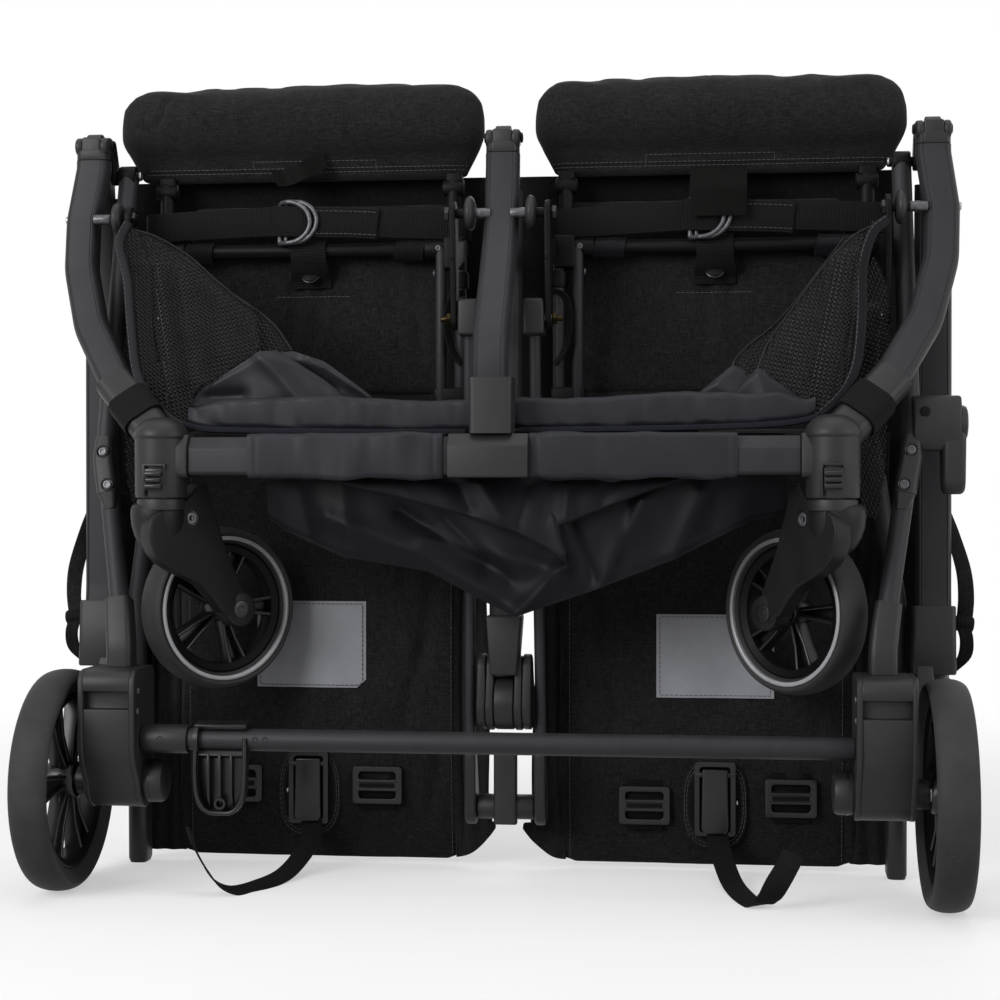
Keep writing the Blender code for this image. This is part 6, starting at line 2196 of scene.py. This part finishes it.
        def face(u, v):
            x = DRAPE_FROM + DRAPE_WIDE * u
            bottom = height_at(low, x)
            z = DRAPE_TOP + (bottom - DRAPE_TOP) * v
            hang = 4 * math.sin(math.pi * min(1, v * 1.05))
            lip = -2.0 * ramp(v, 0.93, 1)
            side_in = 16 * ramp(abs(x - 20), 150, 212)
            fold = relief(x, z, ridges) * ramp(v, 0.1, 0.35)
            return Vector((x, 8.5 - hang - lip - fold + side_in + 1.2 * wave(x, 0, z, 30, 7), z))

        piece = Piece("basket_drape")
        cloth(piece, 190, 80, face, "satin_shaded", -1.0)
        thing = piece.done("front_frame", ("basket_front",))
        steps = [DRAPE_FROM + DRAPE_WIDE * (i + 0.5) / 60 for i in range(60)]
        flat = sum((DRAPE_TOP - height_at(low, x)) * DRAPE_WIDE / 60 for x in steps)

    def front_fold(self):
        """The upper fold of the basket's bottom, lying over the rest, with its turned corner, in the
        darker twill: painted shade.
        """
        for number, (low, x0, x1, ridges) in enumerate((
            ([(-134, 332), (-100, 322), (-74, 317), (-21, 303), (21, 289), (46, 276), (58, 266)],
             -134, 58,
             (([(-30, 330), (-18, 308)], -4, 7), ([(-12, 332), (8, 300)], 4, 8),
              ([(30, 328), (20, 296)], -3, 6), ([(50, 300), (57, 272)], 4, 5))),
            ([(40, 288), (50, 293), (84, 307), (123, 322), (160, 334)], 40, 160,
             (([(60, 330), (58, 300)], 3, 6), ([(96, 332), (86, 312)], -2, 7))),
        )):
            def face(u, v, low=low, x0=x0, x1=x1, ridges=ridges, number=number):
                x = x0 + (x1 - x0) * u
                bottom = height_at(low, x)
                high = FOLD_TOP - (0 if number else 64 * ramp(x, 46, 58))
                down = min(1.0, v / 0.86)
                curl = ramp(v, 0.86, 1)
                z = high + (bottom - high) * down - 2.2 * math.sin(math.pi * curl)
                out = 9.5 * ramp(down, 0.3, 1) * (1 - ramp(z, 326, 350))
                fold = relief(x, z, ridges) * (1 - ramp(z, 326, 334))
                ruffle = 0.9 * wave(x, 0, z, 18, 2 + number)
                return Vector((x, -0.5 + 1.5 * number - out - fold + 8 * curl + ruffle,
                               z + 1.6 * curl))

            piece = Piece(f"basket_fold_{number + 1}")
            cloth(piece, 120, 54, face, "satin_shaded", -0.9)
            thing = piece.done("front_frame")
            steps = [x0 + (x1 - x0) * (i + 0.5) / 40 for i in range(40)]
            flat = sum((FOLD_TOP - height_at(low, x)) * (x1 - x0) / 40 for x in steps)


OPERATORS = (
    STROLLER_OT_stage,
    STROLLER_OT_front_legs,
    STROLLER_OT_crossbar,
    STROLLER_OT_casters,
    STROLLER_OT_rear_frame,
    STROLLER_OT_seat_frames,
    STROLLER_OT_handle,
    STROLLER_OT_leg_rests,
    STROLLER_OT_seats,
    STROLLER_OT_straps,
    STROLLER_OT_side_cloth,
    STROLLER_OT_basket,
)


class STROLLER_PT_panel(bpy.types.Panel):
    """Lists the stroller's pieces with their sizes and colours"""

    bl_idname = "STROLLER_PT_panel"
    bl_label = "Double stroller"
    bl_space_type = "VIEW_3D"
    bl_region_type = "UI"
    bl_category = "Stroller"

    def draw(self, context):
        layout = self.layout
        scene = context.scene
        for title, group in (("Colours", scene.stroller_colours), ("Sizes", scene.stroller_sizes)):
            layout.label(text=title)
            for name in group.__annotations__:
                layout.prop(group, name)
        for operator in OPERATORS:
            layout.operator(operator.bl_idname)


CLASSES = (StrollerColours, StrollerSizes, *OPERATORS, STROLLER_PT_panel)


def register():
    for kind in CLASSES:
        bpy.utils.register_class(kind)
    bpy.types.Scene.stroller_colours = bpy.props.PointerProperty(type=StrollerColours)
    bpy.types.Scene.stroller_sizes = bpy.props.PointerProperty(type=StrollerSizes)


def unregister():
    del bpy.types.Scene.stroller_sizes
    del bpy.types.Scene.stroller_colours
    for kind in reversed(CLASSES):
        bpy.utils.unregister_class(kind)


def main():
    register()
    for operator in OPERATORS:
        group, name = operator.bl_idname.split(".")
        getattr(getattr(bpy.ops, group), name)()


if __name__ == "__main__":
    main()
